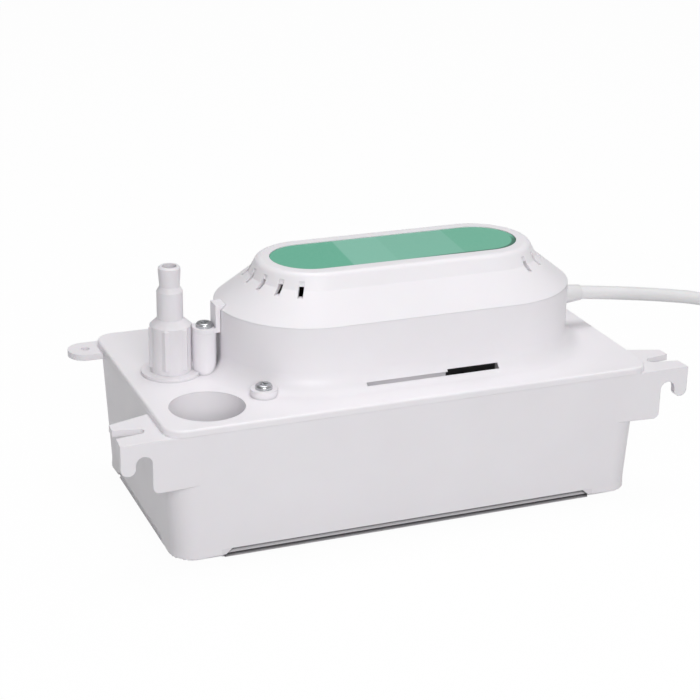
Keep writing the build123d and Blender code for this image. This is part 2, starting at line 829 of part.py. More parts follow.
def make_volute_base():
    low = volute_base_z - volute_base_thick
    plate = Pos(motor_x, 0, low) * extrude(spiral_face(volute_wall), amount=volute_base_thick)
    for x, y in volute_screw_places():
        plate += rod(volute_ear_radius, low, volute_base_z, x, y)
        plate -= rod(small_screw_radius + 0.1, low - 1, volute_base_z + 1, x, y)
    plate -= rod(eye_radius, low - 1, volute_base_z + 1, motor_x, 0)
    for k in range(strainer_posts):
        angle = 2 * math.pi * k / strainer_posts
        x = motor_x + (eye_radius + 2.2) * math.cos(angle)
        y = (eye_radius + 2.2) * math.sin(angle)
        plate += rod(1.1, low - strainer_height, low, x, y)
    return plate


def make_impeller():
    disc_z = impeller_z + vane_height
    wheel = rod(impeller_radius, disc_z, disc_z + impeller_disc)
    wheel += rod(impeller_hub_radius, impeller_z + 0.4, disc_z + impeller_disc + 1.6)
    sweep_angle = math.radians(50)
    inner = impeller_hub_radius - 0.6
    outer = impeller_radius - 0.2
    middle = (inner + outer) / 2
    mid_angle = sweep_angle * 0.32
    curve = ThreePointArc(
        (inner, 0),
        (middle * math.cos(mid_angle), middle * math.sin(mid_angle)),
        (outer * math.cos(sweep_angle), outer * math.sin(sweep_angle)),
    )
    vane_plan = trace(curve, line_width=vane_thick)
    vane = Pos(0, 0, impeller_z) * extrude(vane_plan, amount=vane_height)
    vane &= rod(impeller_radius, impeller_z, disc_z)
    for k in range(vane_count):
        wheel += Rot(0, 0, 360 / vane_count * k) * vane
    wheel -= rod(shaft_radius, shaft_bottom, disc_z + 10)
    return Pos(motor_x, 0, 0) * wheel


def make_slinger():
    return tube(8.0, shaft_radius, tank_height - 7, tank_height - 5, motor_x, 0)


def screw_group(places, head_z, length, up):
    """Small self-tapping screws with their heads on head_z, shanks pointing up or down."""
    group = []
    for x, y in places:
        sign = 1 if up else -1
        head_low, head_high = sorted((head_z, head_z - sign * small_head_height))
        shank_low, shank_high = sorted((head_z, head_z + sign * length))
        screw = rod(small_head_radius, head_low, head_high, x, y) + rod(small_screw_radius, shank_low, shank_high, x, y)
        slot_low, slot_high = sorted((head_z - sign * small_head_height, head_z - sign * small_head_height / 2))
        screw -= block(x - 3, x + 3, y - 0.35, y + 0.35, slot_low, slot_high)
        group.append(screw)
    return Compound(children=group)


def make_hose():
    nozzle_y = volute_start_radius + volute_growth - nozzle_bore
    z = volute_base_z + volute_height / 2
    start_x = motor_x - nozzle_length + hose_overlap
    path = FilletPolyline(
        (start_x, nozzle_y, z),
        (start_x - 24, nozzle_y, z),
        (outlet_x, outlet_y, z),
        (outlet_x, outlet_y, spigot_bottom - 2.0),
        radius=hose_bend,
    )
    ring = Circle(hose_outer) - Circle(nozzle_radius)
    return sweep(Plane(origin=(start_x, nozzle_y, z), z_dir=(-1, 0, 0)) * ring, path=path)


# ---------------------------------------------------------------- float and switches
float_z = floor_z + float_clear
float_tip_z = pivot_z - lever_arm * math.sin(lever_droop)
collar_low = float_tip_z - rod_collar_gap / 2


def make_float():
    body = block(
        float_x - float_length / 2,
        float_x + float_length / 2,
        -float_width / 2,
        float_width / 2,
        float_z,
        float_z + float_height,
    )
    body = fillet(body.edges().filter_by(Axis.Z), 8)
    body = fillet(body.edges().group_by(Axis.Z)[0] + body.edges().group_by(Axis.Z)[-1], 2.5)
    body += rod(5.0, float_z + 2, float_z + float_height + 4, rod_x, 0)
    return body - rod(rod_radius, float_z + 4, float_z + float_height + 5, rod_x, 0)


def make_float_rod():
    top = collar_low + rod_collar_gap + rod_collar_thick + 1.5
    stem = rod(rod_radius, float_z + 4, top, rod_x, 0)
    for low in (collar_low - rod_collar_thick, collar_low + rod_collar_gap):
        stem += rod(rod_collar_radius, low, low + rod_collar_thick, rod_x, 0)
    return stem


def make_lever():
    """A lever drawn level and then turned to its resting droop: a fork on the rod, two lobes on the pin."""
    half = switch_width + switch_gap / 2 - 0.4
    hub = Pos(0, -half, 0) * across(pin_radius + 1.7, 2 * half)
    lobe_width = switch_width - 3
    for side in (-1, 1):
        y = side * (switch_width + switch_gap) / 2
        hub += Pos(lobe_offset, y - lobe_width / 2, 0) * across(lobe_radius, lobe_width)
    fork_in = rod_radius + 0.9
    arm = block(-lever_arm + fork_in + 1.5, -2.0, -lever_width / 2, lever_width / 2, -lever_plate / 2, lever_plate / 2)
    hub += arm
    for side in (-1, 1):
        y0, y1 = sorted((side * fork_in, side * lever_width / 2))
        hub += block(-lever_arm, -lever_arm + fork_in + 2, y0, y1, -lever_plate / 2, lever_plate / 2)
        hub += Pos(-lever_arm, y0, 0) * across(lever_tip_radius, y1 - y0)
    hub -= Pos(0, front_y, 0) * across(pin_radius + pin_clearance, tank_width)
    return Pos(pivot_x, 0, pivot_z) * (Rot(0, -math.degrees(lever_droop), 0) * hub)


frame_half = switch_width + switch_gap / 2 + frame_side_gap


def make_switch_frame():
    """A folded steel cradle: base on the deck, cheeks outside the switches, ears for the lever's pin."""
    left = pivot_x - switch_left
    right = left + switch_length
    base = block(left + 2, right - 2, -frame_half - frame_wall, frame_half + frame_wall, deck_z, deck_z + frame_wall)
    base += block(left - frame_tab, right + frame_tab, -frame_tab_width / 2, frame_tab_width / 2, deck_z, deck_z + frame_wall)
    for side in (-1, 1):
        y0, y1 = sorted((side * frame_half, side * (frame_half + frame_wall)))
        base += block(left + 2, right - 2, y0, y1, deck_z, deck_z + switch_height)
        ear = block(pivot_x - 5, pivot_x + 5, y0, y1, deck_z, pivot_z)
        ear += Pos(pivot_x, y0, pivot_z) * across(5, frame_wall)
        base += ear
    base -= Pos(pivot_x, front_y, pivot_z) * across(pin_radius, tank_width)
    for x, z in switch_screw_places():
        base -= Pos(x, front_y, z) * across(switch_screw_radius, tank_width)
    for x, y in frame_screw_places():
        base -= rod(small_screw_radius, deck_z - 1, deck_z + 3, x, y)
    return base


def frame_screw_places():
    """One screw through each end tab of the cradle."""
    left = pivot_x - switch_left
    reach = frame_tab - small_head_radius - 0.4
    return [(left - reach, 0), (left + switch_length + reach, 0)]


def switch_screw_places():
    left = pivot_x - switch_left
    low = deck_z + switch_lift
    return [(left + 3.2, low + 3.4), (left + switch_length - 3.2, low + 3.4)]


def make_lever_pin():
    reach = frame_half + frame_wall
    pin = Pos(pivot_x, -reach - 0.8, pivot_z) * across(pin_radius, 2 * reach + 0.8)
    head = Pos(pivot_x, -reach - 1.6, pivot_z) * across(pin_radius + 1.2, 1.6)
    return pin + head


button_top = pivot_z + lobe_offset * math.sin(lever_droop) - lobe_radius - button_gap


def make_switch(side):
    left = pivot_x - switch_left
    low = deck_z + switch_lift
    y = side * (switch_width + switch_gap) / 2
    case = block(left, left + switch_length, y - switch_width / 2, y + switch_width / 2, low, low + switch_height)
    case = chamfer(case.edges().filter_by(Axis.Y), 0.8)
    parting = block(left - 1, left + switch_length + 1, y - 0.2, y + 0.2, low + switch_height - 0.4, low + switch_height + 1)
    case -= parting
    case -= rod(button_radius + 0.08, low + switch_height - 5, low + switch_height + 1, pivot_x, y)
    for x, z in switch_screw_places():
        case -= Pos(x, front_y, z) * across(switch_screw_radius, tank_width)
    # Two blade terminals at the end away from the lever.
    for z in (low + 7.0, low + 12.0):
        case += block(left + switch_length - 1, left + switch_length + 5.5, y - 2.4, y + 2.4, z - 0.4, z + 0.4)
    return case


def make_button(side):
    y = side * (switch_width + switch_gap) / 2
    bottom = deck_z + switch_lift + switch_height - 5 + button_travel + 0.3
    button = rod(button_radius, bottom, button_top, pivot_x, y)
    return fillet(button.edges().sort_by(Axis.Z)[-1], 0.4)


def make_switch_screws():
    reach = frame_half + frame_wall
    screws = []
    for x, z in switch_screw_places():
        shank = Pos(x, -reach, z) * across(switch_screw_radius, 2 * reach + 3)
        head = Pos(x, -reach - 1.8, z) * across(switch_screw_radius + 1.3, 1.8)
        nut_plane = Plane(origin=(x, reach, z), z_dir=(0, 1, 0))
        nut = extrude(nut_plane * RegularPolygon(switch_screw_radius + 1.6, 6), amount=2.2)
        screws.append(shank + head + nut)
    return Compound(children=screws)


# ---------------------------------------------------------------- terminal block, cord, plug
def make_terminal_block():
    half = 1.5 * block_pitch + 0.5
    body = block(block_x - half, block_x + half, block_y - 6, block_y + 6, deck_z, deck_z + block_height)
    body = chamfer(body.edges().group_by(Axis.Z)[-1], 1.0)
    for k in range(3):
        x = block_x + block_pitch * (k - 1)
        body -= rod(1.9, deck_z + 5, deck_z + block_height + 1, x, block_y)
        body -= Pos(x, block_y - 7, deck_z + 4.2) * across(1.6, 14)
    return body


def make_terminal_screws():
    screws = []
    for k in range(3):
        x = block_x + block_pitch * (k - 1)
        screw = rod(1.8, deck_z + 6.5, deck_z + 9.5, x, block_y)
        screws.append(screw - block(x - 2, x + 2, block_y - 0.3, block_y + 0.3, deck_z + 8.7, deck_z + 10))
    return Compound(children=screws)


def make_strain_relief():
    """A moulded boot: a grooved neck in the well wall, a collar inside it and a ribbed taper outside."""
    neck = gland_radius
    bore = cord_radius
    inside = well_end - well_wall
    outline = [
        (bore, inside - relief_sleeve),
        (relief_root_radius, inside - relief_sleeve),
        (relief_root_radius, inside - 3.0),
        (neck + gland_lip, inside - 3.0),
        (neck + gland_lip, inside),
        (neck, inside),
        (neck, well_end),
        (neck + 0.8, well_end),
        (neck + 0.8, well_end + 1.6),
        (relief_root_radius, well_end + 3.0),
        (cord_radius + 0.5, relief_tip),
        (bore, relief_tip),
    ]
    turned = make_face(Plane.XZ * Polyline(*outline, close=True))
    boot = revolve(turned, Axis.Z)
    return Pos(0, 0, cord_exit_z) * (Rot(0, 90, 0) * boot)


# The lead leaves the boot level, sags past the bracket and comes down onto the stored coil.
coil_outer = coil_mid_radius + coil_columns * cord_radius
coil_inner = coil_mid_radius - coil_columns * cord_radius
coil_height = 2 * cord_radius * coil_rows
coil_turn_outer = coil_outer - cord_radius
lead_route = [
    (relief_tip, 0, cord_exit_z),
    (131.0, 0.0, 84.3),
    (149.0, 0.0, 81.6),
    (167.0, -0.2, 78.7),
    (186.0, -0.8, 75.2),
    (205.0, -2.0, 68.6),
    (223.0, -3.9, 58.0),
    (240.5, -6.3, 44.8),
    (258.0, -8.5, 31.2),
    (275.5, -9.9, 19.6),
    (292.5, -10.0, 12.6),
]
tail_route = [
    (coil_x - coil_turn_outer, coil_y, cord_radius),
    (coil_x - coil_turn_outer + 0.4, coil_y - 15.0, cord_radius + 0.2),
    (coil_x - coil_turn_outer - 0.8, coil_y - 30.0, cord_radius + 2.6),
    (coil_x - coil_turn_outer - 3.0, coil_y - 44.0, plug_height / 2 - 0.6),
]
plug_start = (coil_x - coil_turn_outer - 4.6, coil_y - 58.0, plug_height / 2)


def corner_radii(points):
    """At each inner point, the largest arc that leaves a tenth of the shorter run straight."""
    radii = []
    for before, here, after in zip(points, points[1:], points[2:]):
        run_in = Vector(*here) - Vector(*before)
        run_out = Vector(*after) - Vector(*here)
        half_turn = math.radians(run_in.get_angle(run_out) / 2)
        radii.append(0.45 * min(run_in.length, run_out.length) / math.tan(half_turn))
    return radii


def cord_tube(points):
    radii = corner_radii(points)
    print("cord radii", [round(r) for r in radii])
    path = FilletPolyline(*points, radius=radii)
    start = Plane(origin=path @ 0, z_dir=path % 0)
    return sweep(start * Circle(cord_radius), path=path)


def make_power_cord():
    return cord_tube(lead_route)


def make_cord_tail():
    return cord_tube(tail_route + [plug_start])


def make_cord_coil():
    ring = tube(coil_outer, coil_inner, 0, coil_height, coil_x, coil_y)
    return fillet(ring.edges(), cord_radius * 0.8)


def make_plug():
    """A moulded three-pin plug lying on its side, its pins pointing away from the lead."""
    x, y, z = plug_start
    body_back = -plug_boot_length
    grip = loft(
        Sketch()
        + [
            Pos(0, 0, body_back) * RectangleRounded(plug_width * 0.5, plug_height * 0.56, 4),
            Pos(0, 0, body_back - plug_length * 0.42) * RectangleRounded(plug_width * 0.8, plug_height * 0.8, 5),
            Pos(0, 0, body_back - plug_length * 0.7) * RectangleRounded(plug_width, plug_height, 6),
        ]
    )
    face = Pos(0, 0, body_back - plug_length * 0.7) * extrude(
        RectangleRounded(plug_width, plug_height, 6), amount=-plug_length * 0.3
    )
    boot = Pos(0, 0, body_back / 2) * Cone(plug_height * 0.27, cord_radius + 0.6, plug_boot_length)
    return Pos(x, y, z) * (Rot(-90, 0, 0) * (boot + grip + face))


def plug_face_y():
    return plug_start[1] - plug_boot_length - plug_length


def make_plug_pins():
    x, _, z = plug_start
    y = plug_face_y()
    pins = [
        block(x - 6.35 - 0.75, x - 6.35 + 0.75, y - 16, y, z - 6.5, z - 0.2),
        block(x + 6.35 - 0.75, x + 6.35 + 0.75, y - 16, y, z - 6.5, z - 0.2),
        Pos(x, y, z + 6.0) * (Rot(90, 0, 0) * extrude(Circle(2.4), amount=19)),
    ]
    return Compound(children=pins)


# ---------------------------------------------------------------- write the pieces
def all_parts():
    return {
        "tank": make_tank(),
        "tank_cover": make_tank_cover(),
        "motor_cap": make_motor_cap(),
        "label_plate": make_label(),
        "cap_screw": pan_screw(cap_screw_x, 0, cap_lug_z + cap_lug_thick, cap_screw_length),
        "cover_screws": Compound(
            children=[pan_screw(x, y, deck_z + pad_rise, cover_screw_length) for x, y in pad_places()]
        ),
        "outlet_body": make_outlet_body(),
        "valve_seat": make_valve_seat(),
        "valve_ball": make_valve_ball(),
        "discharge_hose": make_hose(),
        "volute_housing": make_volute(),
        "volute_base": make_volute_base(),
        "volute_screws": screw_group(volute_screw_places(), volute_base_z - volute_base_thick, volute_screw_length, True),
        "column_screws": screw_group(column_screw_places(), tank_height - column_flange_thick, column_screw_length, True),
        "impeller": make_impeller(),
        "motor_shaft": make_shaft(),
        "shaft_slinger": make_slinger(),
        "rotor": make_rotor(),
        "cooling_fan": make_fan(),
        "stator_core": make_stator(),
        "shading_coils": make_shading_coils(),
        "coil_bobbin": make_bobbin(),
        "coil_winding": make_winding(),
        "lower_bracket": make_bracket(lower_bracket_z, -1),
        "upper_bracket": make_bracket(upper_bracket_z, 1),
        "lower_bearing": make_bearing(lower_bearing_z),
        "upper_bearing": make_bearing(upper_bearing_z),
        "motor_screws": make_motor_screws(),
        "float": make_float(),
        "float_rod": make_float_rod(),
        "switch_lever": make_lever(),
        "lever_pin": make_lever_pin(),
        "switch_frame": make_switch_frame(),
        "frame_screws": screw_group(frame_screw_places(), deck_z + frame_wall, frame_screw_length, False),
        "run_switch": make_switch(-1),
        "overflow_switch": make_switch(1),
        "run_button": make_button(-1),
        "overflow_button": make_button(1),
        "switch_screws": make_switch_screws(),
        "terminal_block": make_terminal_block(),
        "terminal_screws": make_terminal_screws(),
        "strain_relief": make_strain_relief(),
        "power_cord": make_power_cord(),
        "cord_coil": make_cord_coil(),
        "cord_tail": make_cord_tail(),
        "plug_body": make_plug(),
        "plug_pins": make_plug_pins(),
    }


os.makedirs("parts", exist_ok=True)
for name, shape in all_parts().items():
    shape.label = name
    export_step(shape, f"parts/{name}.step")
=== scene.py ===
import math

import bpy
from bpy.props import FloatProperty, FloatVectorProperty, PointerProperty
from mathutils import Matrix, Quaternion, Vector


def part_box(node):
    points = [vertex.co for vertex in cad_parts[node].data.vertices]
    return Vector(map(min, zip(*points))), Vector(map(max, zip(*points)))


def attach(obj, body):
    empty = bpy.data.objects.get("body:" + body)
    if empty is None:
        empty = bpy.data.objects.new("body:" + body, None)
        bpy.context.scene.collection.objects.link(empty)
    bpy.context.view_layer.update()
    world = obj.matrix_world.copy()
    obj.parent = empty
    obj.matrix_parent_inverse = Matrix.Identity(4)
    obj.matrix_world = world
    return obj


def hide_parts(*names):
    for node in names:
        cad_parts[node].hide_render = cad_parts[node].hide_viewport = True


bl_info = {
    "name": "Condensate Pump",
    "version": (1, 0, 0),
    "blender": (4, 5, 0),
    "location": "View3D > Sidebar > Condensate Pump",
    "description": "Dresses a condensate pump: its finishes, tank moulding, mains lead and studio",
    "category": "Object",
}

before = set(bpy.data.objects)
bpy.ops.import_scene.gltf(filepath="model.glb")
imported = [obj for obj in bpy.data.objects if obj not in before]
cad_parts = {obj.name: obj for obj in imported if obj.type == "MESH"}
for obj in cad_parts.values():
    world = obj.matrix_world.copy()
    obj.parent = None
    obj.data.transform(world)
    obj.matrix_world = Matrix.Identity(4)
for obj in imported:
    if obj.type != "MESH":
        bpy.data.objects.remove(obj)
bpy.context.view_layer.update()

MM = 0.001


# ------------------------------------------------------------------ small helpers
# The sockets of a Mix node that its two colours go into and the one that their mix comes out of.
MIX_LOW, MIX_HIGH, MIX_RESULT = 6, 7, 2


def srgb(code):
    """A written sRGB hex colour as the linear colour that a shader takes."""
    parts = [int(code[i:i + 2], 16) / 255 for i in (1, 3, 5)]
    linear = [c / 12.92 if c <= 0.04045 else ((c + 0.055) / 1.055) ** 2.4 for c in parts]
    return (*linear, 1.0)


def add(tree, kind, inputs=None, **settings):
    """One node with its settings; an input is a number, a colour, a hex code or the socket feeding it."""
    made = tree.nodes.new(kind)
    for name, value in settings.items():
        setattr(made, name, value)
    for name, value in (inputs or {}).items():
        socket = made.inputs[name]
        if isinstance(value, bpy.types.NodeSocket):
            tree.links.new(value, socket)
        else:
            socket.default_value = srgb(value) if isinstance(value, str) else value
    return made


def per_metre(size_mm):
    """Noise scale at which one feature of the pattern is about this many millimetres."""
    return 1.0 / (size_mm * MM)


def band_scale(pitch_mm):
    """Wave scale at which one band follows the next at this many millimetres."""
    return per_metre(pitch_mm) / (2 * math.pi)


def new_material(name):
    """An empty node material with its Principled shader, output and the piece's own coordinates."""
    made = bpy.data.materials.new(name)
    made.use_nodes = True
    tree = made.node_tree
    tree.nodes.clear()
    shader = add(tree, "ShaderNodeBsdfPrincipled")
    add(tree, "ShaderNodeOutputMaterial", {"Surface": shader.outputs["BSDF"]})
    place = add(tree, "ShaderNodeTexCoord").outputs["Object"]
    return made, tree, shader, place


def drift(tree, place, low, high, size_mm, detail):
    """A value that drifts from low to high over the surface, in patches of a real size."""
    noise = add(tree, "ShaderNodeTexNoise",
                {"Vector": place, "Scale": per_metre(size_mm), "Detail": detail}).outputs["Fac"]
    # Most of a noise lies between 0.3 and 0.7, which is stretched to the whole range.
    return add(tree, "ShaderNodeMapRange", {"Value": noise, "From Min": 0.3, "From Max": 0.7,
                                            "To Min": low, "To Max": high}).outputs["Result"]


def clouded(tree, place, low, high, size_mm, detail):
    """A colour that drifts between two hex values over the surface, in clouds of a real size."""
    cloud = drift(tree, place, 0.0, 1.0, size_mm, detail)
    return add(tree, "ShaderNodeMix", {0: cloud, MIX_LOW: low, MIX_HIGH: high},
               data_type="RGBA").outputs[MIX_RESULT]


def painted_crease_shade(tree, base, reach_mm, shade, closed=0.2, clear=0.72):
    """Painted shade: a colour that deepens where ambient occlusion finds seams, steps and slots of this
    size.
    """
    air = add(tree, "ShaderNodeAmbientOcclusion", {"Distance": reach_mm * MM},
              samples=8, only_local=True).outputs["AO"]
    lit = add(tree, "ShaderNodeMapRange", {"Value": air, "From Min": closed, "From Max": clear})
    return add(tree, "ShaderNodeMix", {0: lit.outputs["Result"], MIX_LOW: shade, MIX_HIGH: base},
               data_type="RGBA").outputs[MIX_RESULT]


def boxed(tree, place, box_mm, soft_mm, outside, inside):
    """A colour that is another one inside a box, given by its corners in millimetres, with soft edges."""
    apart = add(tree, "ShaderNodeSeparateXYZ", {"Vector": place})
    within = None
    for axis, low, high in zip("XYZ", *box_mm):
        middle, half = (low + high) / 2 * MM, (high - low) / 2 * MM
        off = add(tree, "ShaderNodeMath", {0: apart.outputs[axis], 1: middle}, operation="SUBTRACT")
        off = add(tree, "ShaderNodeMath", {0: off.outputs["Value"]}, operation="ABSOLUTE")
        part = add(tree, "ShaderNodeMapRange",
                   {"Value": off.outputs["Value"], "From Min": half - soft_mm * MM, "From Max": half,
                    "To Min": 1.0, "To Max": 0.0}).outputs["Result"]
        if within is None:
            within = part
        else:
            within = add(tree, "ShaderNodeMath", {0: within, 1: part},
                         operation="MULTIPLY").outputs["Value"]
    return add(tree, "ShaderNodeMix", {0: within, MIX_LOW: outside, MIX_HIGH: inside},
               data_type="RGBA").outputs[MIX_RESULT]


def colour(tree, shader, socket):
    """Feed the shader's base colour."""
    tree.links.new(socket, shader.inputs["Base Color"])


def wear(tree, shader, place, rough, size_mm, detail):
    """Roughness that drifts between two values over the surface, in patches of a real size."""
    tree.links.new(drift(tree, place, *rough, size_mm, detail), shader.inputs["Roughness"])


def relief(tree, shader, height, depth_mm, strength, edge_mm=None):
    """Bump of a real depth; with a radius, sharp arrises look as round as a mould or a tool leaves them."""
    inputs = {"Height": height, "Distance": depth_mm * MM, "Strength": strength}
    if edge_mm:
        rounded = add(tree, "ShaderNodeBevel", {"Radius": edge_mm * MM}, samples=6)
        inputs["Normal"] = rounded.outputs["Normal"]
    tree.links.new(add(tree, "ShaderNodeBump", inputs).outputs["Normal"], shader.inputs["Normal"])


def grain(tree, shader, place, size_mm, detail, depth_mm, strength, edge_mm=None):
    """Relief of an even grain of a real size."""
    noise = add(tree, "ShaderNodeTexNoise",
                {"Vector": place, "Scale": per_metre(size_mm), "Detail": detail}).outputs["Fac"]
    relief(tree, shader, noise, depth_mm, strength, edge_mm)


def dress(material, *nodes):
    """Give a CAD node this finish in each of its material slots."""
    for name in nodes:
        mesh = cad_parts[name].data
        if not mesh.materials:
            mesh.materials.append(material)
        for i in range(len(mesh.materials)):
            mesh.materials[i] = material


def clear_selection():
    """Leave edit mode and deselect everything."""
    if bpy.context.object and bpy.context.object.mode != "OBJECT":
        bpy.ops.object.mode_set(mode="OBJECT")
    bpy.ops.object.select_all(action="DESELECT")


def keep_only(obj):
    """Select this object alone and make it the active one."""
    clear_selection()
    obj.select_set(True)
    bpy.context.view_layer.objects.active = obj


# ------------------------------------------------------------------ finishes
def moulded_abs(name, low, high, edge_mm=0.4, crease_shade=None, rebate_shade=None, groove=None, inlet_painted_light=None):
    """White ABS from a spark-eroded mould: satin, with a fine even grain and barely clouded colour; where
    asked, painted shade and painted light.
    """
    made, tree, shader, place = new_material(name)
    skin = clouded(tree, place, low, high, size_mm=45.0, detail=3.0)
    # Painted shade in the piece's seams, steps and slots.
    if crease_shade:
        skin = painted_crease_shade(tree, skin, **crease_shade)
    # Painted shade darkens the stepped rebates between the feet, most in their inner corners.
    if rebate_shade:
        shaded = painted_crease_shade(tree, skin, reach_mm=4.0, shade="#4C4A4D", closed=0.46, clear=1.05)
        skin = boxed(tree, place, rebate_shade, 0.05, skin, shaded)
    # Painted shade: the deep groove, which gets no light, is painted black.
    if groove:
        skin = boxed(tree, place, groove, 0.3, skin, "#161617")
    # Painted light: the inlet's thin-walled cup is painted whiter inside than its shaded hole renders.
    if inlet_painted_light:
        skin = boxed(tree, place, inlet_painted_light, 0.4, skin, "#FEFBFF")
    colour(tree, shader, skin)
    wear(tree, shader, place, (0.36, 0.44), size_mm=14.0, detail=4.0)
    # The mould's grain is about 0.2 mm; it is drawn at about 0.9 mm so that it shows.
    grain(tree, shader, place, size_mm=0.9, detail=2.0, depth_mm=0.02, strength=0.35, edge_mm=edge_mm)
    shader.inputs["IOR"].default_value = 1.53
    shader.inputs["Subsurface Weight"].default_value = 0.04
    shader.inputs["Subsurface Scale"].default_value = 1.5 * MM
    return made


# The label film's plain panels: how far they tilt, how soft their edges are in millimetres, the first one's
# ink, and where each further one starts along the film, in millimetres from the origin, with its ink.
PANEL_TILT = math.radians(4.5)
PANEL_SOFTNESS = 0.4
FIRST_INK = "#5DB496"
FURTHER_PANELS = ((-14.0, "#7FC3AC"), (8.5, "#79BFA7"), (43.0, "#68B89B"))
# The ink where the print's dots are thinner, and how much of it shows at most.
THIN_INK = "#8FCDB8"
THIN_SHARE = 0.10
# The film's dark edge line: its colour and, in millimetres, how far inside the edge it starts and is full,
# where it is full towards the front, and where it starts and is full towards the right of the film's middle.
EDGE_LINE_COLOUR = "#2B6E57"
LINE_START = 2.3
LINE_FULL = 1.7
LINE_FRONT = -6.0
LINE_RIGHT_START = 2.0
LINE_RIGHT_FULL = 26.0


def printed_film(name, middle_mm, half_length_mm, half_width_mm):
    """Printed polyester film with a satin face: panels of green ink, a dark line at the front right."""
    made, tree, shader, place = new_material(name)
    tilted = add(tree, "ShaderNodeMapping", {"Vector": place, "Rotation": (0, 0, PANEL_TILT)})
    along = add(tree, "ShaderNodeSeparateXYZ", {"Vector": tilted.outputs["Vector"]}).outputs["X"]
    ink = FIRST_INK
    for start_mm, tint in FURTHER_PANELS:
        past = add(tree, "ShaderNodeMapRange",
                   {"Value": along, "From Min": (start_mm - PANEL_SOFTNESS) * MM,
                    "From Max": (start_mm + PANEL_SOFTNESS) * MM}).outputs["Result"]
        ink = add(tree, "ShaderNodeMix", {0: past, MIX_LOW: ink, MIX_HIGH: tint},
                  data_type="RGBA").outputs[MIX_RESULT]
    # Ink density varies a little, as screen print does, over dots drawn at about 1 mm.
    dots = drift(tree, place, 0.0, THIN_SHARE, size_mm=1.2, detail=1.0)
    ink = add(tree, "ShaderNodeMix", {0: dots, MIX_LOW: ink, MIX_HIGH: THIN_INK},
              data_type="RGBA").outputs[MIX_RESULT]
    # How far a point lies from the film's straight middle line, which a stadium's edge keeps constant.
    apart = add(tree, "ShaderNodeSeparateXYZ", {"Vector": place})
    off = add(tree, "ShaderNodeMath", {0: apart.outputs["X"], 1: middle_mm * MM}, operation="SUBTRACT")
    end = add(tree, "ShaderNodeMath", {0: off.outputs["Value"]}, operation="ABSOLUTE")
    end = add(tree, "ShaderNodeMath", {0: end.outputs["Value"], 1: (half_length_mm - half_width_mm) * MM},
              operation="SUBTRACT")
    end = add(tree, "ShaderNodeMath", {0: end.outputs["Value"], 1: 0.0}, operation="MAXIMUM")
    flat = add(tree, "ShaderNodeCombineXYZ", {"X": end.outputs["Value"], "Y": apart.outputs["Y"]})
    reach = add(tree, "ShaderNodeVectorMath", {0: flat.outputs["Vector"]}, operation="LENGTH")
    line = add(tree, "ShaderNodeMapRange",
               {"Value": reach.outputs["Value"], "From Min": (half_width_mm - LINE_START) * MM,
                "From Max": (half_width_mm - LINE_FULL) * MM}).outputs["Result"]
    front = add(tree, "ShaderNodeMapRange",
                {"Value": apart.outputs["Y"], "From Min": LINE_FRONT * MM, "From Max": 0.0,
                 "To Min": 1.0, "To Max": 0.0}).outputs["Result"]
    right = add(tree, "ShaderNodeMapRange",
                {"Value": off.outputs["Value"], "From Min": LINE_RIGHT_START * MM,
                 "From Max": LINE_RIGHT_FULL * MM}).outputs["Result"]
    for share in (front, right):
        line = add(tree, "ShaderNodeMath", {0: line, 1: share}, operation="MULTIPLY").outputs["Value"]
    colour(tree, shader, add(tree, "ShaderNodeMix", {0: line, MIX_LOW: ink, MIX_HIGH: EDGE_LINE_COLOUR},
                             data_type="RGBA").outputs[MIX_RESULT])
    wear(tree, shader, place, (0.32, 0.38), size_mm=20.0, detail=2.0)
    grain(tree, shader, place, size_mm=6.0, detail=2.0, depth_mm=0.02, strength=0.3, edge_mm=0.25)
    shader.inputs["Coat Weight"].default_value = 0.12
    shader.inputs["Coat Roughness"].default_value = 0.2
    return made


def formed_metal(name, low, high, rough=(0.24, 0.38)):
    """Formed metal, as zinc-plated steel or plain brass: faintly blotched, with soft reflections."""
    made, tree, shader, place = new_material(name)
    colour(tree, shader, clouded(tree, place, low, high, size_mm=3.0, detail=4.0))
    wear(tree, shader, place, rough, size_mm=2.0, detail=4.0)
    grain(tree, shader, place, size_mm=1.2, detail=3.0, depth_mm=0.01, strength=0.3, edge_mm=0.2)
    shader.inputs["Metallic"].default_value = 1.0
    return made


def turned_metal(name, low, high, rough=(0.12, 0.22), pitch_mm=0.5, axis="Z"):
    """Metal turned on a lathe or ground: fine rings along its axis, drawn at half a millimetre or more."""
    made, tree, shader, place = new_material(name)
    colour(tree, shader, clouded(tree, place, low, high, size_mm=5.0, detail=3.0))
    rings = add(tree, "ShaderNodeTexWave",
                {"Vector": place, "Scale": band_scale(pitch_mm), "Distortion": 0.4},
                wave_type="BANDS", bands_direction=axis).outputs["Fac"]
    wear(tree, shader, place, rough, size_mm=1.5, detail=3.0)
    relief(tree, shader, rings, depth_mm=0.01, strength=0.25, edge_mm=0.15)
    shader.inputs["Metallic"].default_value = 1.0
    return made


def moulded_nylon(name, low, high, see_through=0.06):
    """Injection-moulded nylon: slightly waxy, a little light passes into it, soft flow marks."""
    made, tree, shader, place = new_material(name)
    flow = add(tree, "ShaderNodeMapping", {"Vector": place, "Scale": (1.0, 1.0, 0.35)}).outputs["Vector"]
    colour(tree, shader, clouded(tree, flow, low, high, size_mm=9.0, detail=3.0))
    wear(tree, shader, place, (0.38, 0.5), size_mm=4.0, detail=3.0)
    grain(tree, shader, place, size_mm=0.8, detail=2.0, depth_mm=0.02, strength=0.3, edge_mm=0.3)
    shader.inputs["IOR"].default_value = 1.53
    shader.inputs["Subsurface Weight"].default_value = see_through
    shader.inputs["Subsurface Scale"].default_value = 2.0 * MM
    return made


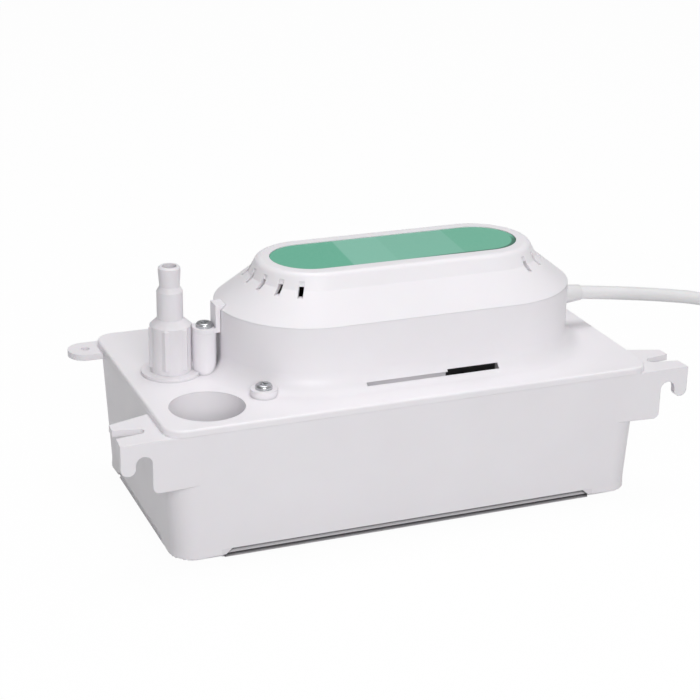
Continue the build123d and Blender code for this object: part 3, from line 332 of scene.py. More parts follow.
def soft_pvc(name, low, high):
    """Flexible PVC, extruded or moulded: satin skin with a faint grain and a slightly uneven gloss."""
    made, tree, shader, place = new_material(name)
    colour(tree, shader, clouded(tree, place, low, high, size_mm=25.0, detail=3.0))
    wear(tree, shader, place, (0.42, 0.54), size_mm=6.0, detail=3.0)
    grain(tree, shader, place, size_mm=1.0, detail=3.0, depth_mm=0.03, strength=0.35, edge_mm=0.3)
    shader.inputs["IOR"].default_value = 1.52
    shader.inputs["Subsurface Weight"].default_value = 0.05
    shader.inputs["Subsurface Scale"].default_value = 1.5 * MM
    return made


def moulded_rubber(name):
    """Black nitrile rubber: matt, with the fine bloom that rubber shows when dry."""
    made, tree, shader, place = new_material(name)
    colour(tree, shader, clouded(tree, place, "#1B1B1C", "#2A2A2B", size_mm=5.0, detail=4.0))
    wear(tree, shader, place, (0.62, 0.8), size_mm=2.0, detail=3.0)
    grain(tree, shader, place, size_mm=0.6, detail=2.0, depth_mm=0.03, strength=0.4, edge_mm=0.3)
    return made


def stacked_laminations(name):
    """Electrical steel pressed into a stack: half millimetre sheets show as lines along the height."""
    made, tree, shader, place = new_material(name)
    sheets = add(tree, "ShaderNodeTexWave", {"Vector": place, "Scale": band_scale(0.5), "Distortion": 0.15},
                 wave_type="BANDS", bands_direction="Z", wave_profile="SAW").outputs["Fac"]
    colour(tree, shader, clouded(tree, place, "#6D7073", "#8B8D90", size_mm=4.0, detail=5.0))
    wear(tree, shader, place, (0.4, 0.58), size_mm=1.5, detail=3.0)
    relief(tree, shader, sheets, depth_mm=0.08, strength=0.5, edge_mm=0.15)
    shader.inputs["Metallic"].default_value = 0.85
    return made


def wound_copper(name, pitch_mm=0.6):
    """Wound copper under a thin clear coat: darker between its turns, one ridge per turn."""
    made, tree, shader, place = new_material(name)
    turns = add(tree, "ShaderNodeTexWave",
                {"Vector": place, "Scale": band_scale(pitch_mm), "Distortion": 0.6, "Detail Scale": 2.0},
                wave_type="BANDS", bands_direction="X").outputs["Fac"]
    colour(tree, shader, add(tree, "ShaderNodeMix", {0: turns, MIX_LOW: "#8A3F1E", MIX_HIGH: "#C9703B"},
                             data_type="RGBA").outputs[MIX_RESULT])
    wear(tree, shader, place, (0.22, 0.34), size_mm=2.0, detail=2.0)
    relief(tree, shader, turns, depth_mm=0.25, strength=0.8)
    shader.inputs["Metallic"].default_value = 0.8
    shader.inputs["Coat Weight"].default_value = 0.6
    shader.inputs["Coat Roughness"].default_value = 0.12
    return made


def cast_aluminium(name):
    """Die-cast aluminium rings on the rotor: pale grey with fine pitting from the casting."""
    made, tree, shader, place = new_material(name)
    pits = add(tree, "ShaderNodeTexVoronoi", {"Vector": place, "Scale": per_metre(1.2)},
               feature="SMOOTH_F1").outputs["Distance"]
    colour(tree, shader, clouded(tree, place, "#A9ABAE", "#C4C6C8", size_mm=3.0, detail=4.0))
    wear(tree, shader, place, (0.42, 0.6), size_mm=1.0, detail=3.0)
    relief(tree, shader, pits, depth_mm=0.08, strength=0.4, edge_mm=0.3)
    shader.inputs["Metallic"].default_value = 0.9
    return made


def sintered_bronze(name):
    """Oil-filled sintered bronze: brown-gold grains about a tenth of a millimetre, drawn at half."""
    made, tree, shader, place = new_material(name)
    grains = add(tree, "ShaderNodeTexVoronoi",
                 {"Vector": place, "Scale": per_metre(0.5)}).outputs["Distance"]
    colour(tree, shader, add(tree, "ShaderNodeMix", {0: grains, MIX_LOW: "#A57C42", MIX_HIGH: "#6E4F28"},
                             data_type="RGBA").outputs[MIX_RESULT])
    wear(tree, shader, place, (0.38, 0.55), size_mm=2.0, detail=2.0)
    relief(tree, shader, grains, depth_mm=0.06, strength=0.5, edge_mm=0.2)
    shader.inputs["Metallic"].default_value = 0.9
    return made


def closed_cell_foam(name):
    """Closed-cell foam of the float: matt, with a skin of rounded cells about a millimetre across."""
    made, tree, shader, place = new_material(name)
    cells = add(tree, "ShaderNodeTexVoronoi", {"Vector": place, "Scale": per_metre(1.3)},
                feature="SMOOTH_F1").outputs["Distance"]
    colour(tree, shader, add(tree, "ShaderNodeMix", {0: cells, MIX_LOW: "#E9E4D6", MIX_HIGH: "#D2CBB8"},
                             data_type="RGBA").outputs[MIX_RESULT])
    wear(tree, shader, place, (0.75, 0.9), size_mm=5.0, detail=2.0)
    relief(tree, shader, cells, depth_mm=0.25, strength=0.6, edge_mm=0.8)
    shader.inputs["Sheen Weight"].default_value = 0.15
    return made


def clear_tube(name):
    """Clear vinyl hose: water-clear with a faint yellow cast and soft waviness from extrusion."""
    made, tree, shader, place = new_material(name)
    colour(tree, shader, clouded(tree, place, "#F2F4EC", "#E8EBDD", size_mm=12.0, detail=2.0))
    wear(tree, shader, place, (0.08, 0.16), size_mm=4.0, detail=2.0)
    grain(tree, shader, place, size_mm=3.0, detail=2.0, depth_mm=0.08, strength=0.35)
    shader.inputs["IOR"].default_value = 1.52
    shader.inputs["Transmission Weight"].default_value = 0.85
    return made


# ------------------------------------------------------------------ what a user may change
class PumpSizes(bpy.types.PropertyGroup):
    """Sizes of the mains lead, the tank's feet and the moulded edges"""

    lead_diameter: FloatProperty(
        name="Lead diameter", description="Outside diameter of the round mains lead",
        default=6.8 * MM, min=4 * MM, max=10 * MM, unit="LENGTH")
    foot_round: FloatProperty(
        name="Foot round", description="Radius under the tank's feet",
        default=6.0 * MM, min=2 * MM, max=9 * MM, unit="LENGTH")
    foot_swell: FloatProperty(
        name="Foot swell", description="How far the feet stand out past the tank's walls",
        default=1.0 * MM, min=0.0, max=2 * MM, unit="LENGTH")
    mould_edge: FloatProperty(
        name="Mould edge", description="Radius that the mould leaves on sharp arrises",
        default=0.4 * MM, min=0.05 * MM, max=1.0 * MM, unit="LENGTH")


class PumpStudio(bpy.types.PropertyGroup):
    """The floor, the light and the camera"""

    floor_size: FloatProperty(
        name="Floor size", description="Side of the square floor", default=14.0, min=2.0, unit="LENGTH")
    fill_light: FloatProperty(
        name="Fill light", description="Strength of the even light from all round",
        default=0.37, min=0.0, soft_max=2.0)
    front_light: FloatProperty(
        name="Front light", description="Power of the large lamp in front", default=10.9,
        min=0.0, unit="POWER")
    top_light: FloatProperty(
        name="Top light", description="Power of the large lamp overhead", default=10.6,
        min=0.0, unit="POWER")
    lens: FloatProperty(
        name="Lens", description="Focal length of the camera in millimetres", default=94.7, min=20.0)
    background: FloatVectorProperty(
        name="Background", description="Colour of the floor and the backdrop", subtype="COLOR",
        default=(1.0, 1.0, 1.0), min=0.0, max=1.0)


# ------------------------------------------------------------------ the studio
# The share of the floor's look that is its own glow, and the grey by which it lights the pump.
FLOOR_GLOW = 0.965
FLOOR_BOUNCE = "#BCBCBD"
# The share of the fill that comes from the inlet end's side, and the X of the directions of the sky where
# the fill is down to that and where it is full.
INLET_END_FILL = 0.6
FILL_LOW_AT = -1.0
FILL_FULL_AT = -0.25
# The lamps, in metres: where they stand, the point that they face and their diameters.
LAMPS_FACE = (0, 0, 0.06)
FRONT_LAMP = (-0.28, -1.32, 0.75)
FRONT_LAMP_SIZE = 0.9
TOP_LAMP = (0.08, 0.2, 1.62)
TOP_LAMP_SIZE = 1.0
# The camera: its angles round the point that it looks at, and that point and its distance in millimetres.
CAMERA_TURN = math.radians(-22.09)
CAMERA_RISE = math.radians(21.2)
CAMERA_ROLL = math.radians(1.04)
CAMERA_TARGET = (-9.57, 0.0, 71.01)
CAMERA_DISTANCE = 889.2
SENSOR_WIDTH = 36.0


def studio_floor_material(studio):
    """White floor paper: it shows as plain white and keeps a soft shadow below the pump."""
    made, tree, shader, place = new_material("studio_floor_paper")
    seen_paper = clouded(tree, place, "#FAFAFA", "#FCFCFC", size_mm=60.0, detail=3.0)
    wear(tree, shader, place, (0.85, 0.95), size_mm=20.0, detail=2.0)
    glow = add(tree, "ShaderNodeEmission", {"Color": (*studio.background, 1.0), "Strength": 1.0})
    rays = add(tree, "ShaderNodeLightPath").outputs
    # Less light comes back from the floor than it shows, so the pump's walls keep their shade.
    colour(tree, shader, add(tree, "ShaderNodeMix",
                             {0: rays["Is Camera Ray"], MIX_LOW: FLOOR_BOUNCE, MIX_HIGH: seen_paper},
                             data_type="RGBA").outputs[MIX_RESULT])
    seen = rays["Is Camera Ray"]
    for ray in ("Is Glossy Ray", "Is Transmission Ray"):
        seen = add(tree, "ShaderNodeMath", {0: seen, 1: rays[ray]}, operation="MAXIMUM").outputs["Value"]
    share = add(tree, "ShaderNodeMath", {0: seen, 1: FLOOR_GLOW}, operation="MULTIPLY").outputs["Value"]
    mix = add(tree, "ShaderNodeMixShader",
              {0: share, 1: shader.outputs["BSDF"], 2: glow.outputs["Emission"]})
    out = next(n for n in tree.nodes if n.type == "OUTPUT_MATERIAL")
    tree.links.new(mix.outputs["Shader"], out.inputs["Surface"])
    return made


def studio_world(studio):
    """The even fill from all round, behind which the backdrop shows as plain white."""
    world = bpy.data.worlds.new("studio_world")
    world.use_nodes = True
    tree = world.node_tree
    tree.nodes.clear()
    rays = add(tree, "ShaderNodeLightPath").outputs
    seen = add(tree, "ShaderNodeMath", {0: rays["Is Camera Ray"], 1: rays["Is Transmission Ray"]},
               operation="MAXIMUM").outputs["Value"]
    # Less of the fill comes from the inlet end, so that the pump's end wall keeps its shade.
    sky = add(tree, "ShaderNodeTexCoord").outputs["Generated"]
    side = add(tree, "ShaderNodeSeparateXYZ", {"Vector": sky}).outputs["X"]
    full = studio.fill_light
    share = add(tree, "ShaderNodeMapRange",
                {"Value": side, "From Min": FILL_LOW_AT, "From Max": FILL_FULL_AT,
                 "To Min": INLET_END_FILL * full, "To Max": full}).outputs["Result"]
    fill = add(tree, "ShaderNodeBackground", {"Color": "#FFFFFF", "Strength": share}).outputs["Background"]
    white = add(tree, "ShaderNodeBackground",
                {"Color": (*studio.background, 1.0), "Strength": 1.0}).outputs["Background"]
    mix = add(tree, "ShaderNodeMixShader", {0: seen, 1: fill, 2: white})
    add(tree, "ShaderNodeOutputWorld", {"Surface": mix.outputs["Shader"]})
    return world


def area_lamp(name, place, size, power):
    """A round lamp that faces the pump."""
    bpy.ops.object.light_add(type="AREA", location=place)
    lamp = bpy.context.object
    lamp.name = name
    lamp.data.shape = "DISK"
    lamp.data.size = size
    lamp.data.energy = power
    lamp.rotation_euler = (Vector(LAMPS_FACE) - Vector(place)).to_track_quat("-Z", "Y").to_euler()


def studio_camera(lens):
    """The camera, turned round its target and rolled a little."""
    turn, rise = CAMERA_TURN, CAMERA_RISE
    back = Vector((math.sin(turn) * math.cos(rise), -math.cos(turn) * math.cos(rise), math.sin(rise)))
    bpy.ops.object.camera_add(location=Vector(CAMERA_TARGET) * MM + back * CAMERA_DISTANCE * MM)
    camera = bpy.context.object
    camera.name = "studio_camera"
    facing = (-back).to_track_quat("-Z", "Y") @ Quaternion((0, 0, 1), CAMERA_ROLL)
    camera.rotation_euler = facing.to_euler()
    camera.data.lens = lens
    camera.data.sensor_width = SENSOR_WIDTH
    camera.data.clip_start = 0.01
    return camera


class PUMP_OT_studio(bpy.types.Operator):
    """Make the floor, the lamps, the world and the camera"""

    bl_idname = "condensate_pump.studio"
    bl_label = "Studio"

    def execute(self, context):
        studio = context.scene.pump_studio
        clear_selection()
        bpy.ops.mesh.primitive_plane_add(size=studio.floor_size, location=(0, 0, 0))
        floor = context.object
        floor.name = "studio_floor"
        floor.data.materials.append(studio_floor_material(studio))
        context.scene.world = studio_world(studio)
        area_lamp("front_lamp", FRONT_LAMP, FRONT_LAMP_SIZE, studio.front_light)
        area_lamp("top_lamp", TOP_LAMP, TOP_LAMP_SIZE, studio.top_light)
        context.scene.view_settings.view_transform = "Standard"
        context.scene.camera = studio_camera(studio.lens)
        clear_selection()
        return {"FINISHED"}


# ------------------------------------------------------------------ the mains lead
# All places of the lead's route are in millimetres.
LEAD_EXIT = (114.2, 0.0, 86.4)
LEAD_ROUTE = [
    LEAD_EXIT,
    (131.0, 0.0, 84.3),
    (149.0, 0.0, 81.6),
    (167.0, -0.2, 78.7),
    (186.0, -0.8, 75.2),
    (205.0, -2.0, 68.6),
    (223.0, -3.9, 58.0),
    (240.5, -6.3, 44.8),
    (258.0, -8.5, 31.2),
    (275.5, -9.9, 19.6),
    (292.5, -10.0, 12.6),
]
# The coil: its middle, the radii of its outer and inner turns, and how far each layer turns, in how many
# steps.
COIL_MIDDLE = (291.0, 41.0)
COIL_OUTER = 51.0
COIL_INNER = 32.0
COIL_SWEEP = math.radians(1005.0)
COIL_STEPS = 56
# The lead runs a little inside its control points, so they stand out by this much to keep the coil's radii.
COIL_STRETCH = 1.01243
# Where the upper layer starts, and how far and in how many steps the lead turns as it drops to the lower.
COIL_START = -math.pi / 2
DROP_SWEEP = math.radians(60.0)
DROP_STEPS = 5
TAIL_ROUTE = [
    (240.0, 41.0, 3.4),
    (240.4, 26.0, 3.6),
    (239.2, 11.0, 6.0),
    (237.0, -3.0, 9.9),
    (235.4, -17.0, 10.5),
]


def eased(share):
    """A 0 to 1 share that starts and ends gently."""
    return share * share * (3 - 2 * share)


def coil_point(angle, radius, z):
    """A point of the coil, in millimetres."""
    reach = radius * COIL_STRETCH
    return COIL_MIDDLE[0] + reach * math.cos(angle), COIL_MIDDLE[1] + reach * math.sin(angle), z


def coil_points(diameter):
    """The coil's turns: in along the upper layer, down at the middle, out along the lower layer."""
    top, floor_z = 1.5 * diameter, 0.5 * diameter
    turned_in = COIL_START + COIL_SWEEP
    dropped = turned_in + DROP_SWEEP
    points = []
    for i in range(1, COIL_STEPS + 1):
        part = i / COIL_STEPS
        radius = COIL_OUTER + (COIL_INNER - COIL_OUTER) * part
        points.append(coil_point(COIL_START + COIL_SWEEP * part, radius, top))
    for i in range(1, DROP_STEPS):
        part = i / DROP_STEPS
        z = top + (floor_z - top) * eased(part)
        points.append(coil_point(turned_in + DROP_SWEEP * part, COIL_INNER, z))
    for i in range(COIL_STEPS):
        part = i / COIL_STEPS
        radius = COIL_INNER + (COIL_OUTER - COIL_INNER) * part
        points.append(coil_point(dropped + COIL_SWEEP * part, radius, floor_z))
    return points


def lead_curve(name, points, diameter):
    """One open spline through its control points, as thick as the lead."""
    curve = bpy.data.curves.new(name, "CURVE")
    curve.dimensions = "3D"
    curve.bevel_depth = 1.0
    curve.bevel_resolution = 6
    curve.use_fill_caps = True
    spline = curve.splines.new("NURBS")
    spline.points.add(len(points) - 1)
    for point, (x, y, z) in zip(spline.points, points):
        point.co = (x * MM, y * MM, z * MM, 1.0)
        point.radius = diameter / 2
    spline.order_u = 3
    spline.use_endpoint_u = True
    spline.resolution_u = 4
    made = bpy.data.objects.new(name, curve)
    bpy.context.scene.collection.objects.link(made)
    return made


def lead_length(lead):
    """Length of the lead's centre line."""
    depth = lead.data.bevel_depth
    lead.data.bevel_depth = 0.0
    line = bpy.data.meshes.new_from_object(lead.evaluated_get(bpy.context.evaluated_depsgraph_get()))
    lead.data.bevel_depth = depth
    ends = ([line.vertices[i].co for i in edge.vertices] for edge in line.edges)
    total = sum((start - end).length for start, end in ends)
    bpy.data.meshes.remove(line)
    return total


class PUMP_OT_mains_lead(bpy.types.Operator):
    """Lay the mains lead from the well's end down to the floor and into its coil"""

    bl_idname = "condensate_pump.mains_lead"
    bl_label = "Mains lead"

    def execute(self, context):
        diameter = context.scene.pump_sizes.lead_diameter
        clear_selection()
        points = LEAD_ROUTE + coil_points(diameter / MM) + TAIL_ROUTE
        lead = lead_curve("mains_lead", points, diameter)
        lead.data.materials.append(soft_pvc("extruded_pvc_lead", "#EBEAEB", "#E5E4E6"))
        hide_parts("power_cord", "cord_coil", "cord_tail")
        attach(lead, "casing")
        lead_length(lead)
        dress(soft_pvc("moulded_pvc_relief", "#E6E5E6", "#DEDDDF"), "strain_relief", "plug_body")
        dress(formed_metal("drawn_brass_pins", "#C9A95A", "#B8954A", (0.2, 0.34)), "plug_pins")
        return {"FINISHED"}


# ------------------------------------------------------------------ the pump
# The tank's half length and half width at its rim, the rim's height and the corners' radius, in millimetres.
# Its walls draw in towards the floor by the slope.
TANK_HALF_LENGTH = 119.5
TANK_HALF_WIDTH = 63.5
TANK_RIM = 66.4
TANK_CORNER = 15.0
TANK_SLOPE = math.tan(math.radians(3.4))
# The round under the feet of the tank's node, how near a point of it lies, and where the feet's swell ends.
FOOT_ROUND = 10.0
FOOT_REACH = 0.35
SWELL_TOP = 7.4
# Where the inner ends of the hook flanges stand along the front wall, how near their points lie to that,
# and the height that they start below.
FLANGE_INNER_END = 104.5
FLANGE_REACH = 0.1
FLANGE_TOP = TANK_RIM - 1
# Low and high corners of the box that the stepped rebates along the sides lie in, where painted shade
# darkens them.
REBATE_BOX = ((-94.6, -64.0, 3.05), (94.6, 64.0, 7.36))
# Where a rebate ends against a foot along the long and the short sides, and how far out those sides begin.
REBATE_END_X = 93.5
REBATE_END_Y = 39.5
LONG_SIDE = 55.0
SHORT_SIDE = 111.0
# The height that the rebates lie above, the heights between which their end faces lean, how far the top
# edge of such a face leans away from the foot, and how near a point of it lies.
REBATE_FOOT = 2.9
REBATE_BEND = 3.8
REBATE_TOP = 7.4
REBATE_LEAN = 4.2
REBATE_REACH = 0.05
# Low and high corners of the boxes that the inlet's cup and the groove in front of the motor well lie in:
# the cup is painted lighter inside, as painted light, and the groove black, as painted shade.
INLET_CUP = ((-112.5, -58.5, 50.0), (-76.8, -22.7, 69.5))
WELL_GROOVE = ((21.6, -46.8, 60.0), (47.6, -42.2, 73.2))


def foot_inset(height, radius):
    """How far a round of this radius stands back from the wall at this height."""
    drop = radius - min(max(height, 0.0), radius)
    return radius - math.sqrt(radius ** 2 - drop ** 2)


def fuller_foot(x, y, z, radius, swell):
    """A point on a foot's round, moved out to a smaller radius and a slight swell."""
    reach_x, reach_y = abs(x) - (TANK_HALF_LENGTH - TANK_CORNER), abs(y) - (TANK_HALF_WIDTH - TANK_CORNER)
    wall = TANK_CORNER - (TANK_RIM - z) * TANK_SLOPE
    if reach_x > 0 and reach_y > 0:
        reach = math.hypot(reach_x, reach_y)
        out = (reach_x / reach, reach_y / reach)
    elif reach_y > reach_x:
        reach, out = reach_y, (0.0, 1.0)
    else:
        reach, out = reach_x, (1.0, 0.0)
    old = foot_inset(z, FOOT_ROUND)
    if abs(wall - reach - old) > FOOT_REACH:
        return x, y
    share = max(0.0, 1.0 - z / SWELL_TOP)
    move = old - foot_inset(z, radius) + swell * eased(share)
    return x + math.copysign(out[0] * move, x), y + math.copysign(out[1] * move, y)


def leaning_end(along, across, z, end, side):
    """The place along a side of a point of the rebate's end face, which leans in towards its top."""
    if abs(abs(along) - end) > REBATE_REACH or abs(across) < side or z > REBATE_TOP + REBATE_REACH:
        return along
    return along - math.copysign(REBATE_LEAN * (z - REBATE_BEND) / (REBATE_TOP - REBATE_BEND), along)


def moulded_point(x, y, z, sizes):
    """Where a point of the tank's node lies on the finished moulding, in millimetres."""
    if z > REBATE_FOOT:
        x = leaning_end(x, y, z, REBATE_END_X, LONG_SIDE)
        y = leaning_end(y, x, z, REBATE_END_Y, SHORT_SIDE)
    if z < FOOT_ROUND:
        x, y = fuller_foot(x, y, z, sizes.foot_round / MM, sizes.foot_swell / MM)
    flange_end = abs(abs(x) - FLANGE_INNER_END) < FLANGE_REACH and abs(y + TANK_HALF_WIDTH) < FLANGE_REACH
    if flange_end and z < FLANGE_TOP:
        y += (TANK_RIM - z) * TANK_SLOPE
    return x, y, z


class PUMP_OT_tank(bpy.types.Operator):
    """Make the tank moulding, its feet full and its hook flanges fading into the wall"""

    bl_idname = "condensate_pump.tank"
    bl_label = "Tank"

    def execute(self, context):
        sizes = context.scene.pump_sizes
        clear_selection()
        tank = bpy.data.objects.new("tank_moulding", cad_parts["tank"].data.copy())
        context.scene.collection.objects.link(tank)
        keep_only(tank)
        bpy.ops.object.mode_set(mode="EDIT")
        bpy.ops.mesh.customdata_custom_splitnormals_clear()
        bpy.ops.mesh.select_all(action="SELECT")
        bpy.ops.mesh.remove_doubles(threshold=0.01 * MM)
        bpy.ops.object.mode_set(mode="OBJECT")
        for vertex in tank.data.vertices:
            place = moulded_point(*(c / MM for c in vertex.co), sizes)
            vertex.co = tuple(c * MM for c in place)
        keep_only(tank)
        bpy.ops.object.shade_smooth_by_angle(angle=math.radians(32))
        tank.data.materials.clear()
        # The rebates between the feet get painted shade.
        tank.data.materials.append(moulded_abs("moulded_abs_tank", "#EDEAEE", "#F0EDF1",
                                               edge_mm=sizes.mould_edge / MM, rebate_shade=REBATE_BOX))
        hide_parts("tank")
        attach(tank, "casing")
        return {"FINISHED"}


class PUMP_OT_housing(bpy.types.Operator):
    """Finish the tank's cover and the motor cap in white moulded ABS"""

    bl_idname = "condensate_pump.housing"
    bl_label = "Cover and cap"

    def execute(self, context):
        edge = context.scene.pump_sizes.mould_edge / MM
        # Painted shade darkens the cover's seams and the cap's vents; the cover's groove is painted black
        # and its inlet cup painted lighter.
        dress(moulded_abs("moulded_abs_cover", "#EFECF0", "#F2EFF3", edge_mm=edge,
                          crease_shade={"reach_mm": 3.4, "shade": "#B2B0B4"}, groove=WELL_GROOVE,
                          inlet_painted_light=INLET_CUP), "tank_cover")
        dress(moulded_abs("moulded_abs_motor_cap", "#EEEBEF", "#F1EEF2", edge_mm=edge,
                          crease_shade={"reach_mm": 2.4, "shade": "#3A393B"}), "motor_cap")
        return {"FINISHED"}


# The cap's steep band, in millimetres: where it starts, its radius there, how far it draws in for each one
# of height, where the cap's middle is, and how far from that its rounded ends have theirs.
BAND_Z = 113.9
BAND_RADIUS = 29.9
BAND_DRAW = 4.4 / 7.1
CAP_MIDDLE = 12.5
CAP_END_REACH = 42.2
# The vents fan out round each end at this pitch in degrees, this many steps each way from the middle one.
VENT_PITCH = 20.0
VENT_STEPS = 3
# A flute's floor: its foot, its top, which stands just above the vent's, its half width, how far its outer
# face lies below the band's skin at its top and at its foot, and how far its inner face does.
FLUTE_FOOT = 115.3
FLUTE_TOP = 117.5 + 0.05
FLUTE_HALF_WIDTH = 1.25
FLUTE_SUNK_TOP = 0.1
FLUTE_SUNK_FOOT = 0.6
FLUTE_INNER = 2.0


def flute_corner(corner):
    """The place in millimetres of one corner of a flute's floor, for a cap's end round the origin."""
    z, sunk = (FLUTE_TOP, FLUTE_SUNK_TOP) if corner.z > 0 else (FLUTE_FOOT, FLUTE_SUNK_FOOT)
    skin = BAND_RADIUS - (z - BAND_Z) * BAND_DRAW
    reach = skin - (sunk if corner.x > 0 else FLUTE_INNER)
    return reach, math.copysign(FLUTE_HALF_WIDTH, corner.y), z


class PUMP_OT_vent_flutes(bpy.types.Operator):
    """Close the upper third of each vent in the cap with the floor of a shallow flute"""

    bl_idname = "condensate_pump.vent_flutes"
    bl_label = "Vent flutes"

    def execute(self, context):
        clear_selection()
        bpy.ops.mesh.primitive_cube_add(size=2.0)
        flutes = context.object
        flutes.name = "cap_vent_flutes"
        for vertex in flutes.data.vertices:
            vertex.co = tuple(c * MM for c in flute_corner(vertex.co))
        places = []
        for side, start in ((-1, math.pi), (1, 0.0)):
            for step in range(-VENT_STEPS, VENT_STEPS + 1):
                middle = Matrix.Translation(((CAP_MIDDLE + side * CAP_END_REACH) * MM, 0.0, 0.0))
                places.append(middle @ Matrix.Rotation(start + math.radians(step * VENT_PITCH), 4, "Z"))
        copies = [bpy.data.objects.new("cap_vent_flute", flutes.data.copy()) for _ in places[1:]]
        for floor, place in zip([flutes, *copies], places):
            floor.data.transform(place)
        for floor in copies:
            context.scene.collection.objects.link(floor)
            floor.select_set(True)
        context.view_layer.objects.active = flutes
        bpy.ops.object.join()
        flutes.data.materials.append(bpy.data.materials["moulded_abs_motor_cap"])
        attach(flutes, "casing")
        return {"FINISHED"}


class PUMP_OT_label(bpy.types.Operator):
    """Finish the blank label film in the cap's recess"""

    bl_idname = "condensate_pump.label"
    bl_label = "Label film"

    def execute(self, context):
        low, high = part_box("label_plate")
        middle, half = (low + high) / 2 / MM, (high - low) / 2 / MM
        dress(printed_film("printed_polyester_label", middle.x, half.x, half.y), "label_plate")
        return {"FINISHED"}


class PUMP_OT_outlet_valve(bpy.types.Operator):
    """Finish the outlet fitting, its seat, ball and hose"""

    bl_idname = "condensate_pump.outlet_valve"
    bl_label = "Outlet valve"

    def execute(self, context):
        dress(moulded_nylon("moulded_nylon_outlet", "#ECE9ED", "#E5E2E6"), "outlet_body")
        dress(moulded_nylon("moulded_nylon_valve_seat", "#E6E3E0", "#DDDAD6"), "valve_seat")
        dress(turned_metal("ground_steel_ball", "#B9BBBE", "#CFD1D3", (0.06, 0.12), 1.0), "valve_ball")
        dress(clear_tube("clear_vinyl_hose"), "discharge_hose")
        return {"FINISHED"}


class PUMP_OT_fixings(bpy.types.Operator):
    """Finish the screws"""

    bl_idname = "condensate_pump.fixings"
    bl_label = "Screws and pins"

    def execute(self, context):
        zinc = formed_metal("zinc_plated_screws", "#B6B8BB", "#C8CACC")
        dress(zinc, "cap_screw", "cover_screws", "volute_screws", "column_screws", "motor_screws",
              "frame_screws", "switch_screws")
        dress(formed_metal("turned_brass_screws", "#C2A052", "#AF8C45", (0.22, 0.36)), "terminal_screws")
        return {"FINISHED"}


class PUMP_OT_motor(bpy.types.Operator):
    """Finish the shaded-pole motor under the cap"""

    bl_idname = "condensate_pump.motor"
    bl_label = "Motor"

    def execute(self, context):
        dress(stacked_laminations("pressed_steel_laminations"), "stator_core")
        dress(wound_copper("enamelled_copper_winding"), "coil_winding")
        dress(wound_copper("bare_copper_shading", 3.0), "shading_coils")
        dress(moulded_nylon("moulded_nylon_bobbin", "#E9E4DC", "#DFD9CF"), "coil_bobbin")
        dress(formed_metal("zinc_plated_brackets", "#B4B6B3", "#C6C7C2"), "upper_bracket", "lower_bracket")
        dress(sintered_bronze("sintered_bronze_bearing"), "upper_bearing", "lower_bearing")
        dress(turned_metal("ground_steel_shaft", "#A9ABAE", "#C2C4C6"), "motor_shaft")
        dress(cast_aluminium("cast_aluminium_rotor"), "rotor")
        dress(moulded_nylon("moulded_nylon_fan", "#26282B", "#34363A", see_through=0.0), "cooling_fan")
        return {"FINISHED"}


class PUMP_OT_pump_end(bpy.types.Operator):
    """Finish the volute, its base, the impeller and the slinger"""

    bl_idname = "condensate_pump.pump_end"
    bl_label = "Pump end"

    def execute(self, context):
        dress(moulded_abs("moulded_abs_volute", "#E9E6E9", "#ECE9EC"), "volute_housing", "volute_base")
        dress(moulded_nylon("moulded_nylon_impeller", "#E4E1DC", "#DAD7D1"), "impeller")
        dress(moulded_rubber("moulded_rubber_slinger"), "shaft_slinger")
        return {"FINISHED"}


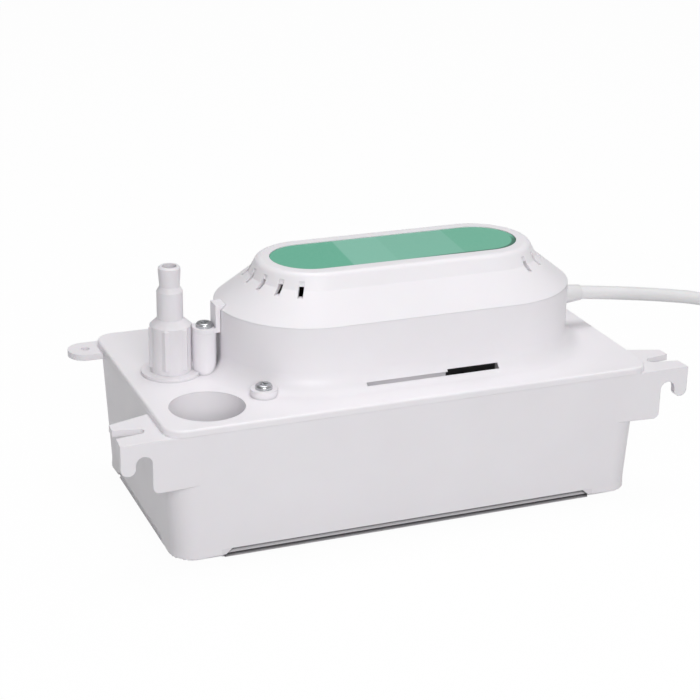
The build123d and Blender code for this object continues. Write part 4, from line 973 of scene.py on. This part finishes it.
class PUMP_OT_float_and_switches(bpy.types.Operator):
    """Finish the float, its rod and lever and the two switches"""

    bl_idname = "condensate_pump.float_and_switches"
    bl_label = "Float and switches"

    def execute(self, context):
        dress(closed_cell_foam("moulded_foam_float"), "float")
        dress(moulded_nylon("moulded_nylon_float_rod", "#E9E6E3", "#DFDCD8"), "float_rod")
        dress(moulded_nylon("moulded_nylon_lever", "#232427", "#303236", see_through=0.0), "switch_lever")
        dress(formed_metal("zinc_plated_switch_frame", "#B4B6B3", "#C6C7C2"), "switch_frame")
        dress(turned_metal("ground_steel_lever_pin", "#A9ABAE", "#C2C4C6", axis="Y"), "lever_pin")
        dress(moulded_nylon("moulded_nylon_switch_case", "#1E1F21", "#2A2B2E", see_through=0.0),
              "run_switch", "overflow_switch")
        dress(moulded_nylon("moulded_nylon_switch_button", "#E3E0DC", "#D8D5D0"),
              "run_button", "overflow_button")
        dress(moulded_nylon("moulded_nylon_terminal_block", "#E6E2DA", "#DBD6CC"), "terminal_block")
        return {"FINISHED"}


OPERATORS = (
    PUMP_OT_studio, PUMP_OT_mains_lead, PUMP_OT_tank, PUMP_OT_housing, PUMP_OT_vent_flutes, PUMP_OT_label,
    PUMP_OT_outlet_valve, PUMP_OT_fixings, PUMP_OT_motor, PUMP_OT_pump_end, PUMP_OT_float_and_switches,
)


class PUMP_PT_panel(bpy.types.Panel):
    """The pump's sizes and its makers"""

    bl_idname = "PUMP_PT_panel"
    bl_label = "Condensate Pump"
    bl_space_type = "VIEW_3D"
    bl_region_type = "UI"
    bl_category = "Condensate Pump"

    def draw(self, context):
        column = self.layout.column(align=True)
        for group in (context.scene.pump_sizes, context.scene.pump_studio):
            for name in group.__annotations__:
                column.prop(group, name)
        for operator in OPERATORS:
            column.operator(operator.bl_idname)


CLASSES = (PumpSizes, PumpStudio, *OPERATORS, PUMP_PT_panel)


def register():
    """Add the classes and the two groups of settings."""
    for cls in CLASSES:
        bpy.utils.register_class(cls)
    bpy.types.Scene.pump_sizes = PointerProperty(type=PumpSizes)
    bpy.types.Scene.pump_studio = PointerProperty(type=PumpStudio)


def unregister():
    """Take them away again."""
    del bpy.types.Scene.pump_studio
    del bpy.types.Scene.pump_sizes
    for cls in reversed(CLASSES):
        bpy.utils.unregister_class(cls)


def main():
    """Make everything in order."""
    register()
    bpy.ops.condensate_pump.studio()
    bpy.ops.condensate_pump.mains_lead()
    bpy.ops.condensate_pump.tank()
    bpy.ops.condensate_pump.housing()
    bpy.ops.condensate_pump.vent_flutes()
    bpy.ops.condensate_pump.label()
    bpy.ops.condensate_pump.outlet_valve()
    bpy.ops.condensate_pump.fixings()
    bpy.ops.condensate_pump.motor()
    bpy.ops.condensate_pump.pump_end()
    bpy.ops.condensate_pump.float_and_switches()
    bpy.context.view_layer.update()


if __name__ == "__main__":
    main()
